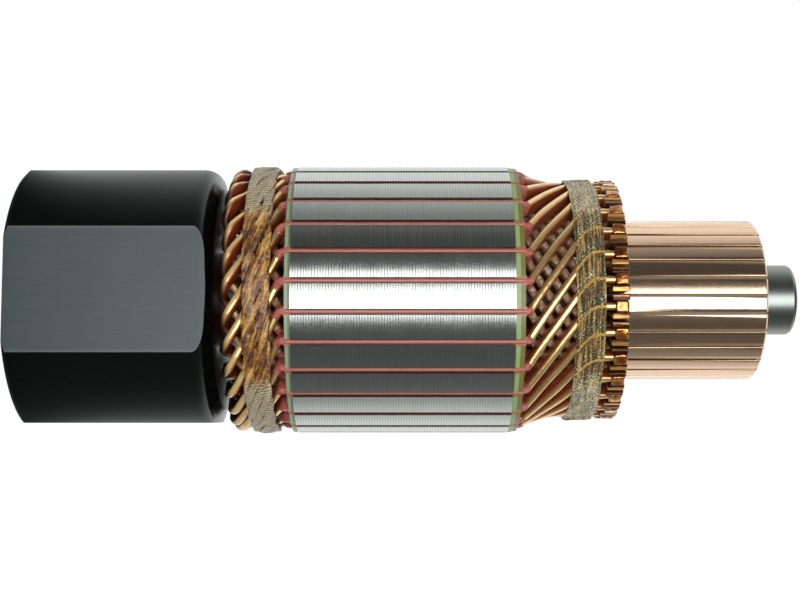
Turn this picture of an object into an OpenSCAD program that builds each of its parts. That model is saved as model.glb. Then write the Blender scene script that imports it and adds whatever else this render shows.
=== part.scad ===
// Wound armature of a low-voltage DC motor: a wave winding of hairpin bars in a
// slotted core, with a commutator at one end and a drive hub at the other.
// +Z runs along the shaft. The armature stands on the outer face of its drive hub.

/* [Core] */
// Outer diameter of the laminated core
core_d = 80; // [76:0.5:84]
// Length of the laminated core, without its end sheets
core_len = 62; // [50:1:80]
// Number of slots, coils and commutator bars
slots = 29; // [29]
// Width of a slot below its lips
slot_w = 2.8; // [2.6:0.1:3]
// Width of the opening between the lips of a slot
slot_mouth = 1.8; // [1.4:0.1:2]
// Radial height of the lips
slot_lip = 0.9; // [0.7:0.1:1.2]
// Thickness of the insulating end sheet at the drive end
end_sheet_rear = 1.5; // [1:0.1:2]
// Thickness of the insulating end sheet at the commutator end
end_sheet_front = 1.3; // [1:0.1:2]
// Thickness of the backing sheet behind the front end sheet
backing_front = 1.3; // [0.8:0.1:1.6]

/* [Winding] */
// Width of a conductor bar
bar_w = 2.2; // [2:0.1:2.4]
// Radial height of a conductor bar
bar_h = 4.4; // [4:0.1:4.5]
// Thickness of the strip between the two bars of a slot
separator_t = 0.6; // [0.4:0.1:0.8]
// Gap between the hub and the noses of the coils
nose_gap = 2.8; // [1:0.1:3.5]
// Axial length from the core's end sheet to the noses, drive end
overhang_rear = 17.9; // [17:0.1:21]
// Axial length from the backing sheet to the risers, commutator end
overhang_front = 24.4; // [24:0.1:30]

/* [Bindings] */
// Thickness of one turn of the glass cord round the rear overhang
cord_t = 1.7; // [1.4:0.1:1.9]
// Number of turns of the glass cord
cord_turns = 4; // [3:1:4]
// Width of the glass tape round the front overhang
tape_w = 8.1; // [6:0.1:8.4]
// Thickness of the glass tape between the bars
tape_t = 0.8; // [0.6:0.1:1.2]
// Height of the ridge that each bar raises in the tape
tape_ridge = 0.35; // [0.2:0.05:0.6]

/* [Commutator] */
// Diameter of the brush track
track_d = 47.8; // [46:0.1:50]
// Length of the brush track
track_len = 41.6; // [38:0.1:44]
// Outer diameter over the risers
riser_d = 71.6; // [71.2:0.1:72.4]
// Axial thickness of the risers
riser_t = 4.8; // [4.6:0.1:5.4]
// Width of the slot in each riser
riser_slot = 3.5; // [3:0.1:3.8]
// Thickness of the insulation between two bars
mica_t = 0.8; // [0.6:0.1:1]
// Depth to which the insulation is undercut below the brush track
undercut = 0.8; // [0.5:0.1:1]
// Turn of the commutator from the slots
lead_shift = 1.7; // [0:0.1:3]

/* [Shaft and hub] */
// Diameter of the journal at the commutator end
journal_d = 21; // [18:0.5:22]
// Length of the journal beyond the commutator
journal_len = 12.5; // [10:0.5:20]
// Diameter of the seat under the commutator
seat_d = 23; // [22.5:0.5:26]
// Diameter of the seat under the core and the hub
core_seat_d = 28; // [26:0.5:32]
// Length of the drive hub
hub_len = 57.4; // [50:0.2:60]
// Distance across the two wide flats of the hub
hub_flat_wide = 72; // [70:0.5:76]
// Distance across the two narrow flats of the hub
hub_flat_narrow = 74; // [72:0.5:78]
// Radius of the hub's rounded shoulder
hub_shoulder = 3.5; // [2:0.5:5]
// Rise of the cone on the hub's inner face
hub_cone = 1.6; // [0:0.2:3]

/* [Hidden] */
$fn = 96;
COILS = [for (k = [1:slots]) str("coil_", k < 10 ? "0" : "", k)];

// Stations along the shaft
pitch = 360 / slots;
slot_turn = 2.8;                                    // where the first slot lies, from -Y towards -X
nose_z = hub_len + nose_gap;
core_z0 = nose_z + overhang_rear + end_sheet_rear;
core_z1 = core_z0 + core_len;
front_z = core_z1 + end_sheet_front + backing_front;
riser_z = front_z + overhang_front;
track_z = riser_z + riser_t;
comm_end_z = track_z + track_len;
shaft_end_z = comm_end_z + journal_len;

// Slot contents, from the bottom of the slot outwards
core_r = core_d / 2;
liner_t = (slot_w - bar_w) / 2;
slot_top = core_r - slot_lip;
slot_bottom = slot_top - 2 * liner_t - 2 * bar_h - separator_t;
top_r = slot_top - liner_t - bar_h / 2;             // centre of the outer bar
low_r = top_r - bar_h - separator_t;                // centre of the inner bar
liner_out = 0.3;                                    // how far a liner stands out of the end sheets
liner_z0 = core_z0 - end_sheet_rear - liner_out;
liner_z1 = front_z + liner_out;

// Front overhang
lead_r = 33.15;                                     // centre of the outer lead in its riser
lead_step = bar_h + 0.25;                           // from the outer lead's centre to the inner one's
lead_low_r = lead_r - lead_step;
lead_in = riser_z + 0.9;                            // where the solder round the leads starts
lead_end = track_z - 0.5;
tape_z0 = riser_z - 1.8 - tape_w;

// Rear overhang
waist = 0.85;                                       // how far the cord draws the bars in
flare = 1.6;                                        // how far they flare out beyond it
nose_turn = 3.5 * pitch;                            // turn from a slot to its coil's nose
nose_span = 1.1 * pitch;                            // turn in which a nose drops to the inner layer
cord_pitch = 1.95;
cord_z0 = liner_z0 - 4.75 - (cord_turns - 1) * cord_pitch;
cord_bed = top_r + bar_h / 2 - waist + 0.02;        // radius on which the cord lies

// ---------------------------------------------------------------- helpers

function clamp01(t) = min(1, max(0, t));
function smooth(t) = let (u = clamp01(t)) u * u * (3 - 2 * u);
// Even motion from 0 to 1 with a rounded start over the share b and a rounded end over the share c
function even(t, b, c) = let (u = clamp01(t), rate = 1 / (1 - b / 2 - c / 2))
    u < b ? rate * u * u / (2 * b) :
    u > 1 - c ? 1 - rate * (1 - u) * (1 - u) / (2 * c) :
    rate * (u - b / 2);
function lerp(a, b, t) = a + (b - a) * t;
function unit(v) = v / norm(v);
// A turn from -Y towards -X, a radius and a height as a point
function place(r, turn, z) = [-r * sin(turn), -r * cos(turn), z];
module at_turn(turn) { rotate([0, 0, -turn]) children(); }
module around() { for (k = [0:slots - 1]) at_turn(slot_turn + k * pitch) children(); }

// A ring with square edges
module ring(r_in, r_out, z0, z1) {
    translate([0, 0, z0]) difference() {
        cylinder(r = r_out, h = z1 - z0);
        translate([0, 0, -1]) cylinder(r = r_in, h = z1 - z0 + 2);
    }
}

// A sector one pitch wide, facing -Y, with gap / 2 taken off each of its two sides
module sector_2d(r, gap) {
    half = pitch / 2;
    reach = 1.5 * r;
    intersection() {
        circle(r = r);
        translate([0, -gap / 2 / sin(half)]) polygon([
            [0, 0], [-reach * sin(half), -reach * cos(half)], [reach * sin(half), -reach * cos(half)]]);
    }
}

// ---------------------------------------------------------------- shaft and hub

centre_drill_d = 6;
shaft_z0 = 1;                                       // the shaft's end lies just inside the hub

module shaft() {
    edge = 1.2;
    step_z = front_z + 6;                           // the core seat ends beyond the core
    color("silver") difference() {
        rotate_extrude() polygon([
            [0, shaft_z0], [core_seat_d / 2 - edge, shaft_z0], [core_seat_d / 2, shaft_z0 + edge],
            [core_seat_d / 2, step_z - edge], [core_seat_d / 2 - edge, step_z], [seat_d / 2, step_z],
            [seat_d / 2, seat_end], [journal_d / 2, seat_end],
            [journal_d / 2, shaft_end_z - edge], [journal_d / 2 - 0.35 * edge, shaft_end_z - 0.35 * edge],
            [journal_d / 2 - edge, shaft_end_z], [0, shaft_end_z]]);
        centre_drill(shaft_z0, 1);
        centre_drill(shaft_end_z, -1);
    }
}

// The cone and pilot that the shaft was turned between centres on
module centre_drill(z, into) {
    cone = centre_drill_d / 2;
    translate([0, 0, z]) mirror([0, 0, into < 0 ? 1 : 0]) rotate_extrude() polygon([
        [0, -1], [cone + 0.6, -1], [cone, 0], [cone / 3, cone * 1.2], [cone / 3, cone * 1.9], [0, cone * 2]]);
}

module hub_profile() {
    bore = core_seat_d / 2;
    edge = 1.2;
    s = hub_shoulder;
    face = hub_len - hub_cone;                      // where the shoulder meets the cone
    polygon([[bore + edge, 0], [core_r - edge, 0], [core_r, edge], [core_r, face - s],
             [core_r - s, face], [core_r - 2 * s, hub_len], [bore, hub_len], [bore, edge]]);
    translate([core_r - s, face - s]) intersection() {
        circle(r = s);
        square(s);
    }
}

module drive_hub() {
    color("dimgray") intersection() {
        rotate_extrude() hub_profile();
        translate([-hub_flat_narrow / 2, -hub_flat_wide / 2, -1])
            cube([hub_flat_narrow, hub_flat_wide, hub_len + 2]);
    }
}

// ---------------------------------------------------------------- core

module slot_2d(r_end) {
    translate([-slot_w / 2, -slot_top]) square([slot_w, slot_top - slot_bottom]);
    translate([-slot_mouth / 2, -r_end - 1]) square([slot_mouth, r_end + 1 - slot_top + 0.2]);
}

module sheet_2d(r) {
    difference() {
        circle(r = r);
        circle(r = core_seat_d / 2);
        around() slot_2d(r);
    }
}

module sheet(r, z0, z1) { translate([0, 0, z0]) linear_extrude(z1 - z0) sheet_2d(r); }

module lamination_stack() { color("lightsteelblue") sheet(core_r, core_z0, core_z1); }
module end_plate_rear() { color("darkseagreen") sheet(core_r - 0.2, core_z0 - end_sheet_rear, core_z0); }
module end_plate_front() { color("darkseagreen") sheet(core_r - 0.2, core_z1, core_z1 + end_sheet_front); }
module end_spacer_front() {
    color("darkkhaki") sheet(core_r - 0.4, core_z1 + end_sheet_front, front_z);
}

module slot_liners() {
    color("indianred") translate([0, 0, liner_z0]) linear_extrude(liner_z1 - liner_z0) around() difference() {
        translate([-slot_w / 2, -slot_top]) square([slot_w, slot_top - slot_bottom]);
        translate([-bar_w / 2, -slot_top + liner_t]) square([bar_w, slot_top - slot_bottom - 2 * liner_t]);
    }
}

module slot_separators() {
    color("tan") translate([0, 0, liner_z0]) linear_extrude(liner_z1 - liner_z0) around()
        translate([-bar_w / 2, -top_r + bar_h / 2]) square([bar_w, separator_t]);
}

// ---------------------------------------------------------------- winding

// Centre line of a hairpin coil, as [radius, turn, height], with the slot of its outer bar at 0
straight = 0.2;                                     // straight run between a liner and a bend
front_bend = liner_z1 + straight;
rear_bend = liner_z0 - straight;
lead_bend = tape_z0 + 0.8 * tape_w;                 // the leads run straight from here to their riser
top_lead = 3 * pitch + lead_shift;                  // turn of the outer lead from its slot
low_lead = -4 * pitch + lead_shift;                 // turn of the inner lead from its slot
bend_in = 0.08;                                     // share of the front slant in the bend at the slot
bend_out = 0.26;                                    // share of it in the bend towards the riser
front_stops = [0, bend_in, 0.3, 0.52, 1 - bend_out, 1 - bend_out / 2, 1];
nose_top_z = nose_z + bar_w / 2;
nose_round = 4;                                     // turn over which the nose is rounded
exit_turn = 4;                                      // turn in which a bar bends out of its slot
fade = 0.15;                                        // how much steeper the slant is near the slot
slant_turn = nose_turn - exit_turn;

// Turn of a front slant at a height, as a share of the whole
function slanted(z) = even((z - front_bend) / (lead_bend - front_bend), bend_in, bend_out);
// Rise of a front slant above its lead's radius, as a share; the inner layer drops away faster
function settled(z, power) = pow(1 - clamp01((z - front_bend) / (tape_z0 - front_bend)), power);

function front_side(r_slot, r_lead, turn, power, stops) = [for (t = stops)
    let (z = lerp(front_bend, lead_bend, t)) [lerp(r_lead, r_slot, settled(z, power)), turn * slanted(z), z]];

// Height of a bar at the turn a from its nose, without the bend into the slot
function nose_arm(a) = norm([a, nose_round]) - nose_round;
slant_reach = nose_arm(slant_turn);
slant_rise = (rear_bend - nose_top_z) /
    (slant_reach + 2 * exit_turn * (1 - fade));     // mean rise for each degree
function slant_z(a) = let (h = nose_arm(a)) nose_top_z + slant_rise * h * (1 + fade - fade * h / slant_reach);
bend_rise = rear_bend - slant_z(slant_turn);

function rear_r(z, outer) =
    outer ? top_r - waist * smooth((rear_bend - z) / 2.4) + flare * smooth((cord_z0 - 1 - z) / 3)
          : low_r - waist * smooth((rear_bend - z) / 4);

function rear_point(a) = let (z = slant_z(a), drop = smooth(0.5 - a / nose_span))
    [lerp(rear_r(z, true), rear_r(z, false), drop), a - nose_turn, z];

// The bend between the slot and the slant, at the share t of its height
function exit_point(outer, t) = let (z = rear_bend - t * bend_rise, a = nose_turn - exit_turn * t * t)
    [rear_r(z, outer), (outer ? a : -a) - nose_turn, z];

exit_stops = [0, 0.4, 0.7];
slant_stops = [1, 0.8, 0.55, 0.3];
nose_stops = [0.62, 0.31, 0, -0.31, -0.62];

function reversed(list) = [for (i = [len(list) - 1:-1:0]) list[i]];

function coil_path() = let (edge = nose_span / 2, low_turn = low_lead - 2 * nose_turn) concat(
    [[lead_r, top_lead, lead_end], [lead_r, top_lead, lead_in]],
    front_side(top_r, lead_r, top_lead, 2, reversed(front_stops)),
    [[top_r, 0, liner_z1], [top_r, 0, liner_z0]],
    [for (t = exit_stops) exit_point(true, t)],
    [for (t = slant_stops) rear_point(lerp(edge, slant_turn, t))],
    [for (t = nose_stops) rear_point(edge * t)],
    [for (t = reversed(slant_stops)) rear_point(-lerp(edge, slant_turn, t))],
    [for (t = reversed(exit_stops)) exit_point(false, t)],
    [[low_r, -2 * nose_turn, liner_z0], [low_r, -2 * nose_turn, liner_z1]],
    [for (p = front_side(low_r, lead_low_r, low_lead, 3.2, front_stops)) p - [0, 2 * nose_turn, 0]],
    [[lead_low_r, low_turn, lead_in], [lead_low_r, low_turn, lead_end]]);

// A bar of rectangular section along a path, its height kept radial
module sweep_bar(path, turn, w, h) {
    n = len(path);
    pts = [for (p = path) place(p[0], p[1] + turn, p[2])];
    corners = [for (i = [0:n - 1]) let (
            ahead = i < n - 1 ? unit(pts[i + 1] - pts[i]) : [0, 0, 0],
            behind = i > 0 ? unit(pts[i] - pts[i - 1]) : [0, 0, 0],
            t = unit(ahead + behind),
            radial = unit([pts[i][0], pts[i][1], 0]),
            up = unit(radial - (radial * t) * t),
            side = cross(up, t))
        each [for (c = [[1, 1], [-1, 1], [-1, -1], [1, -1]]) pts[i] + side * c[0] * w / 2 + up * c[1] * h / 2]];
    walls = [for (i = [0:n - 2], j = [0:3]) let (a = 4 * i + j, b = 4 * i + (j + 1) % 4)
        each [[a, b, b + 4], [a, b + 4, a + 4]]];
    last = 4 * (n - 1);
    polyhedron(corners, concat([[3, 2, 1, 0]], walls, [[last, last + 1, last + 2, last + 3]]));
}

module coil(k) { color("chocolate") sweep_bar(coil_path(), slot_turn + (k - 1) * pitch, bar_w, bar_h); }

// ---------------------------------------------------------------- bindings

module binding_rear() {
    color("goldenrod") rotate_extrude() for (i = [0:cord_turns - 1])
        translate([cord_bed + cord_t / 2, cord_z0 + i * cord_pitch]) {
            circle(d = cord_t, $fn = 32);
            if (i < cord_turns - 1) translate([-cord_t / 2, 0]) square([cord_t * 0.62, cord_pitch]);
        }
}

// The tape lies over the bars, so a ridge follows each bar across its width
ridge_shape = [1, 0.45, 0, 0, 0.45];                  // height of the ridge at equal steps of a pitch
tape_stops = [0, 0.25, 0.75, 1];
edge_drop = 0.3;                                    // share of the thickness lost at the two edges

module binding_front() {
    r_in = norm([lead_r + bar_h / 2, bar_w / 2]) + 0.02;
    steps = len(ridge_shape);
    n = slots * steps;
    rows = len(tape_stops);
    function loop(r0, swell, z) = [for (j = [0:n - 1])
        place(r0 + swell * ridge_shape[j % steps], slot_turn + top_lead * slanted(z) + j * pitch / steps, z)];
    outer = [for (t = tape_stops) let (edge = t == 0 || t == 1)
        each loop(r_in + tape_t * (edge ? 1 - edge_drop : 1), tape_ridge * (edge ? 0.5 : 1), tape_z0 + t * tape_w)];
    inner = [for (t = reversed(tape_stops)) each loop(r_in, 0, tape_z0 + t * tape_w)];
    faces = [for (i = [0:2 * rows - 1], j = [0:n - 1]) let (
            a = i * n + j,
            b = i * n + (j + 1) % n,
            next = i < 2 * rows - 1 ? n : -i * n)
        each [[a, b, b + next], [a, b + next, a + next]]];
    color("darkolivegreen") polyhedron(concat(outer, inner), faces);
}

// ---------------------------------------------------------------- commutator

track_r = track_d / 2;
bush_r = seat_d / 2 + 2.5;
foot_r = bush_r + 2;                                // inside of the bars' feet
foot_top = foot_r + 2.2;
neck_r = foot_top + 2.8;                            // underside of the bars over the end grooves
groove_in = 5.5;                                    // axial depth of the end grooves
foot_in = 2.5;                                      // distance from a bar's end to its foot
recess = 1;                                         // how far the moulding lies inside the bars
seat_end = comm_end_z - recess;
body_z0 = riser_z + recess;
anchor_t = 1.4;

// Section of a bar or of the insulation beside it, below the radius r
module bar_profile(r) {
    edge = 0.6;
    polygon([[foot_r, riser_z + foot_in], [foot_r, comm_end_z - foot_in], [foot_top, comm_end_z - foot_in],
             [neck_r - 0.6, comm_end_z - groove_in], [neck_r, comm_end_z - groove_in], [neck_r, comm_end_z],
             [r - edge, comm_end_z], [r, comm_end_z - edge], [r, riser_z], [neck_r, riser_z],
             [neck_r, riser_z + groove_in], [neck_r - 0.6, riser_z + groove_in], [foot_top, riser_z + foot_in]]);
}

module commutator_bars() {
    slot_floor = lead_low_r - bar_h / 2 - 0.25;
    color("peru") around() at_turn(top_lead) difference() {
        intersection() {
            rotate_extrude() {
                bar_profile(track_r);
                translate([track_r - 1, riser_z]) square([riser_d / 2 - track_r + 1, riser_t]);
            }
            translate([0, 0, riser_z - 1]) linear_extrude(comm_end_z - riser_z + 2)
                sector_2d(riser_d / 2 + 1, mica_t);
        }
        translate([-riser_slot / 2, -riser_d / 2 - 1, riser_z - 1])
            cube([riser_slot, riser_d / 2 + 1 - slot_floor, riser_t + 2]);
    }
}

module commutator_mica() {
    color("wheat") around() at_turn(top_lead + pitch / 2) intersection() {
        rotate_extrude() bar_profile(track_r - undercut);
        translate([-mica_t / 2, -track_r, riser_z - 1]) cube([mica_t, track_r, comm_end_z - riser_z + 2]);
    }
}

// Solder that fills a riser's slot round its two leads
module riser_joints() {
    z0 = lead_in + 0.1;
    outer = lead_r + bar_h / 2;
    inner = lead_low_r - bar_h / 2 - 0.25;
    color("goldenrod") around() at_turn(top_lead) difference() {
        translate([-riser_slot / 2, -outer, z0]) cube([riser_slot, outer - inner, track_z - 0.3 - z0]);
        for (r = [lead_r, lead_low_r])
            translate([-bar_w / 2, -r - bar_h / 2, z0 - 1]) cube([bar_w, bar_h, lead_end - z0 + 1]);
    }
}

module anchor_profile(z) { translate([foot_top + 0.7, z]) square([anchor_t, anchor_t * 1.2]); }
anchor_z = [riser_z + 1.5, comm_end_z - 1.5 - anchor_t * 1.2];

module commutator_body() {
    color("saddlebrown") rotate_extrude() difference() {
        translate([bush_r, body_z0]) square([neck_r - bush_r, seat_end - body_z0]);
        bar_profile(track_r);
        for (z = anchor_z) anchor_profile(z);
    }
}

module commutator_bush() { color("gray") ring(seat_d / 2, bush_r, body_z0, seat_end); }
module commutator_ring_inner() { color("gray") rotate_extrude() anchor_profile(anchor_z[0]); }
module commutator_ring_outer() { color("gray") rotate_extrude() anchor_profile(anchor_z[1]); }

// ---------------------------------------------------------------- assembly

shaft();
drive_hub();
lamination_stack();
end_plate_rear();
end_plate_front();
end_spacer_front();
slot_liners();
slot_separators();
for (k = [1:slots]) coil(k);
binding_rear();
binding_front();
commutator_bars();
commutator_mica();
riser_joints();
commutator_body();
commutator_bush();
commutator_ring_inner();
commutator_ring_outer();
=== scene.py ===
"""The dressed model of a wound motor armature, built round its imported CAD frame.

The builders draw in millimetres and degrees, in the frame of the CAD model: +Z runs
along the shaft, and a turn is measured from -Y towards -X. A piece is scaled into
metres as it becomes an object.
"""

import logging
import math
import random
from dataclasses import dataclass
from enum import Enum
from typing import Any, Callable, Iterable, Sequence

import bmesh
import bpy
from mathutils import Matrix, Vector, noise

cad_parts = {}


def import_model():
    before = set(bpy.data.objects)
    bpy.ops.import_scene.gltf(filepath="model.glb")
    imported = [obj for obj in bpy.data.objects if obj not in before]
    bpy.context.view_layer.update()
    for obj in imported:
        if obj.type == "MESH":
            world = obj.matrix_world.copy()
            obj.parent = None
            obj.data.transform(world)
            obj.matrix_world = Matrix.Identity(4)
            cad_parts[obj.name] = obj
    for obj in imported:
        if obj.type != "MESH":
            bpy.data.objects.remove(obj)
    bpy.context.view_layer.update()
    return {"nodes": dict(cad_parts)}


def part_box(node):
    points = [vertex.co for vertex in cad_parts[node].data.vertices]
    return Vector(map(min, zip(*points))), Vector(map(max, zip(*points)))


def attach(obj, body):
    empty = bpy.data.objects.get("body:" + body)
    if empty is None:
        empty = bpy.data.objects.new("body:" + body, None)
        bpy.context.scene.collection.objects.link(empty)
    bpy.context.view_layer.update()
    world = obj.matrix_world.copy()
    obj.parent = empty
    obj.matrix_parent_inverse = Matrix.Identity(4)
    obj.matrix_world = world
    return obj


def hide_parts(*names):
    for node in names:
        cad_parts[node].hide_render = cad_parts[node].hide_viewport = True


LOG = logging.getLogger("armature")
MM = 0.001
BODY = "root"
RUN_LENGTH = 40
HALVINGS = 30


# ------------------------------------------------------------------ small helpers


def clamp(value: float, low: float = 0.0, high: float = 1.0) -> float:
    """Keeps a number between two limits."""
    return min(high, max(low, value))


def smooth(value: float) -> float:
    """Eases from 0 to 1 with level ends."""
    u = clamp(value)
    return u * u * (3 - 2 * u)


def lerp(start: float, end: float, share: float) -> float:
    """Goes from start to end by a share."""
    return start + (end - start) * share


def even(value: float, start: float, end: float) -> float:
    """Moves evenly from 0 to 1 with a rounded start and end.

    Args:
        value: share of the way.
        start: share over which the motion starts.
        end: share over which it ends.

    Returns:
        The share of the motion that is done.
    """
    u = clamp(value)
    rate = 1 / (1 - start / 2 - end / 2)
    if u < start:
        return rate * u * u / (2 * start)
    if u > 1 - end:
        return 1 - rate * (1 - u) ** 2 / (2 * end)
    return rate * (u - start / 2)


def place(radius: float, turn: float, height: float) -> Vector:
    """Gives the point at a radius, a turn in degrees and a height."""
    angle = math.radians(turn)
    return Vector((-radius * math.sin(angle), -radius * math.cos(angle), height))


def turned(turn: float) -> Matrix:
    """Gives the rotation that takes -Y through a turn in degrees."""
    return Matrix.Rotation(-math.radians(turn), 4, "Z")


# ------------------------------------------------------------------ shader language


class Value:
    """A number socket of a node tree that takes part in Python expressions."""

    def __init__(self, graph: "Graph", socket: bpy.types.NodeSocket) -> None:
        """Wraps a socket of a graph."""
        self.graph = graph
        self.socket = socket

    def _with(self, operation: str, *values: Any) -> "Value":
        """Adds a Math node over the values."""
        node = self.graph.node("ShaderNodeMath", {"operation": operation}, dict(enumerate(values)))
        return Value(self.graph, node.outputs[0])

    def __add__(self, other: Any) -> "Value":
        """Adds."""
        return self._with("ADD", self, other)

    def __sub__(self, other: Any) -> "Value":
        """Subtracts."""
        return self._with("SUBTRACT", self, other)

    def __mul__(self, other: Any) -> "Value":
        """Multiplies."""
        return self._with("MULTIPLY", self, other)

    def __truediv__(self, other: Any) -> "Value":
        """Divides."""
        return self._with("DIVIDE", self, other)

    def __rsub__(self, other: Any) -> "Value":
        """Subtracts this from a number."""
        return self._with("SUBTRACT", other, self)

    def __rtruediv__(self, other: Any) -> "Value":
        """Divides a number by this."""
        return self._with("DIVIDE", other, self)

    def __gt__(self, other: Any) -> "Value":
        """Is 1 where this is greater."""
        return self._with("GREATER_THAN", self, other)

    def __lt__(self, other: Any) -> "Value":
        """Is 1 where this is less."""
        return self._with("LESS_THAN", self, other)

    __radd__ = __add__
    __rmul__ = __mul__

    def apply(self, operation: str, *values: Any) -> "Value":
        """Applies any other operation of a Math node."""
        return self._with(operation, self, *values)

    def band(self, low: float, high: float) -> "Value":
        """Goes smoothly from 0 at low to 1 at high.

        Args:
            low: value at which it starts.
            high: value from which it stays 1.

        Returns:
            A number from 0 to 1.
        """
        node = self.graph.node(
            "ShaderNodeMapRange",
            {"interpolation_type": "SMOOTHSTEP"},
            {"Value": self, "From Min": low, "From Max": high},
        )
        return Value(self.graph, node.outputs["Result"])


class Graph:
    """A node tree that is written as expressions."""

    def __init__(self, tree: bpy.types.NodeTree) -> None:
        """Empties the tree and keeps it."""
        self.tree = tree
        tree.nodes.clear()

    def node(
        self, kind: str, settings: dict[str, Any] | None = None, inputs: dict[Any, Any] | None = None
    ) -> bpy.types.Node:
        """Adds one node.

        Args:
            kind: the node's type.
            settings: its own settings, and "stops" for a colour ramp.
            inputs: values or links of its sockets, by name or number.

        Returns:
            The node.
        """
        node = self.tree.nodes.new(kind)
        for name, value in (settings or {}).items():
            if name == "stops":
                self._set_stops(node.color_ramp, value)
            else:
                setattr(node, name, value)
        for key, value in (inputs or {}).items():
            self.feed(node.inputs[key], value)
        return node

    def feed(self, socket: bpy.types.NodeSocket, value: Any) -> None:
        """Links a value to a socket, or writes a plain one on it.

        Args:
            socket: the socket.
            value: a value, a socket, or a plain number, colour or vector.
        """
        if isinstance(value, Value):
            self.tree.links.new(value.socket, socket)
        elif isinstance(value, bpy.types.NodeSocket):
            self.tree.links.new(value, socket)
        else:
            plain_colour = socket.type == "RGBA" and len(value) == 3
            socket.default_value = (*value, 1.0) if plain_colour else value

    @staticmethod
    def _set_stops(ramp: bpy.types.ColorRamp, stops: Sequence[tuple[float, Sequence[float]]]) -> None:
        """Writes the stops of a colour ramp.

        Args:
            ramp: the ramp.
            stops: the position and the colour of each stop.
        """
        while len(ramp.elements) < len(stops):
            ramp.elements.new(1.0)
        for element, (position, colour) in zip(ramp.elements, stops):
            element.position = position
            element.color = (*colour, 1.0)

    def number(self, socket: bpy.types.NodeSocket) -> Value:
        """Wraps a socket for expressions."""
        return Value(self, socket)

    def attribute(self, name: str) -> Value:
        """Reads a number that a piece's mesh holds."""
        node = self.node("ShaderNodeAttribute", {"attribute_name": name})
        return self.number(node.outputs["Fac"])

    def point(self) -> bpy.types.NodeSocket:
        """Reads the object's own coordinates, in millimetres.

        Returns:
            The coordinates.
        """
        coords = self.node("ShaderNodeTexCoord")
        scaled = self.node(
            "ShaderNodeVectorMath",
            {"operation": "SCALE"},
            {0: coords.outputs["Object"], "Scale": 1 / MM},
        )
        return scaled.outputs["Vector"]

    def split(self, vector: bpy.types.NodeSocket) -> tuple[Value, Value, Value]:
        """Parts a vector into its three numbers."""
        x, y, z = self.node("ShaderNodeSeparateXYZ", None, {0: vector}).outputs
        return self.number(x), self.number(y), self.number(z)

    def join(self, x: Any, y: Any, z: Any) -> bpy.types.NodeSocket:
        """Makes a vector of three numbers."""
        return self.node("ShaderNodeCombineXYZ", None, {0: x, 1: y, 2: z}).outputs[0]

    def cylinder(self) -> tuple[Value, Value, Value]:
        """Reads the turn in degrees, the height and the radius of a point.

        Returns:
            The turn, the height and the radius.
        """
        x, y, z = self.split(self.point())
        turn = (x * -1).apply("ARCTAN2", y * -1) * (180 / math.pi)
        radius = (x * x + y * y).apply("SQRT")
        return turn, z, radius

    def noise(
        self, vector: bpy.types.NodeSocket, scale: float, detail: float = 3.0, rough: float = 0.5
    ) -> Value:
        """Adds a noise over a vector, and gives its number.

        Args:
            vector: where the noise is read.
            scale: how many cells it has for each unit.
            detail: how many finer layers it has.
            rough: how strong the finer layers are.

        Returns:
            The noise, from 0 to 1.
        """
        node = self.node(
            "ShaderNodeTexNoise",
            None,
            {"Vector": vector, "Scale": scale, "Detail": detail, "Roughness": rough},
        )
        return self.number(node.outputs["Fac"])

    def cells(self, vector: bpy.types.NodeSocket) -> Value:
        """Gives one random number for each whole cell of a vector.

        Args:
            vector: the vector.

        Returns:
            The number, from 0 to 1.
        """
        floor = self.node("ShaderNodeVectorMath", {"operation": "FLOOR"}, {0: vector})
        node = self.node("ShaderNodeTexWhiteNoise", None, {"Vector": floor.outputs["Vector"]})
        return self.number(node.outputs["Value"])

    def ramp(self, factor: Value, stops: Sequence[tuple[float, Sequence[float]]]) -> bpy.types.NodeSocket:
        """Turns a number into a colour."""
        return self.node("ShaderNodeValToRGB", {"stops": stops}, {"Fac": factor}).outputs["Color"]

    def mix(self, factor: Any, first: Any, second: Any) -> bpy.types.NodeSocket:
        """Mixes two colours by a factor."""
        node = self.node("ShaderNodeMix", {"data_type": "RGBA"}, {0: factor, 6: first, 7: second})
        return node.outputs[2]

    def bump(self, height: Value, distance: float) -> bpy.types.NodeSocket:
        """Turns a height, counted in steps of a distance in millimetres, into a normal."""
        node = self.node("ShaderNodeBump", None, {"Height": height, "Distance": distance * MM})
        return node.outputs["Normal"]

    def shader(self, kind: str, **inputs: Any) -> bpy.types.NodeSocket:
        """Adds a shader with these sockets and gives its output."""
        named = {name.replace("_", " "): value for name, value in inputs.items()}
        return self.node(kind, None, named).outputs[0]

    def blend(
        self, factor: Any, first: bpy.types.NodeSocket, second: bpy.types.NodeSocket
    ) -> bpy.types.NodeSocket:
        """Mixes two shaders by a factor."""
        return self.node("ShaderNodeMixShader", None, {0: factor, 1: first, 2: second}).outputs[0]

    def end(self, shader: bpy.types.NodeSocket, kind: str = "ShaderNodeOutputMaterial") -> None:
        """Ends the tree in a shader."""
        self.node(kind, None, {"Surface": shader})

    def surface(self, **inputs: Any) -> None:
        """Ends the tree in a Principled shader with these sockets."""
        self.end(self.shader("ShaderNodeBsdfPrincipled", **inputs))


# ------------------------------------------------------------------ finishes


Colour = tuple[float, float, float]


def shaded(colour: Colour, share: float) -> Colour:
    """Gives a colour made darker or lighter by a share, and never quite white."""
    red, green, blue = (min(part * share, 0.95) for part in colour)
    return red, green, blue


def thrice_round(turn: Value, crest: float) -> Value:
    """Gives a wave from -1 to 1 with three crests round the shaft, one of them at a turn."""
    return ((turn - crest) * (3 * math.pi / 180)).apply("COSINE")


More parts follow.
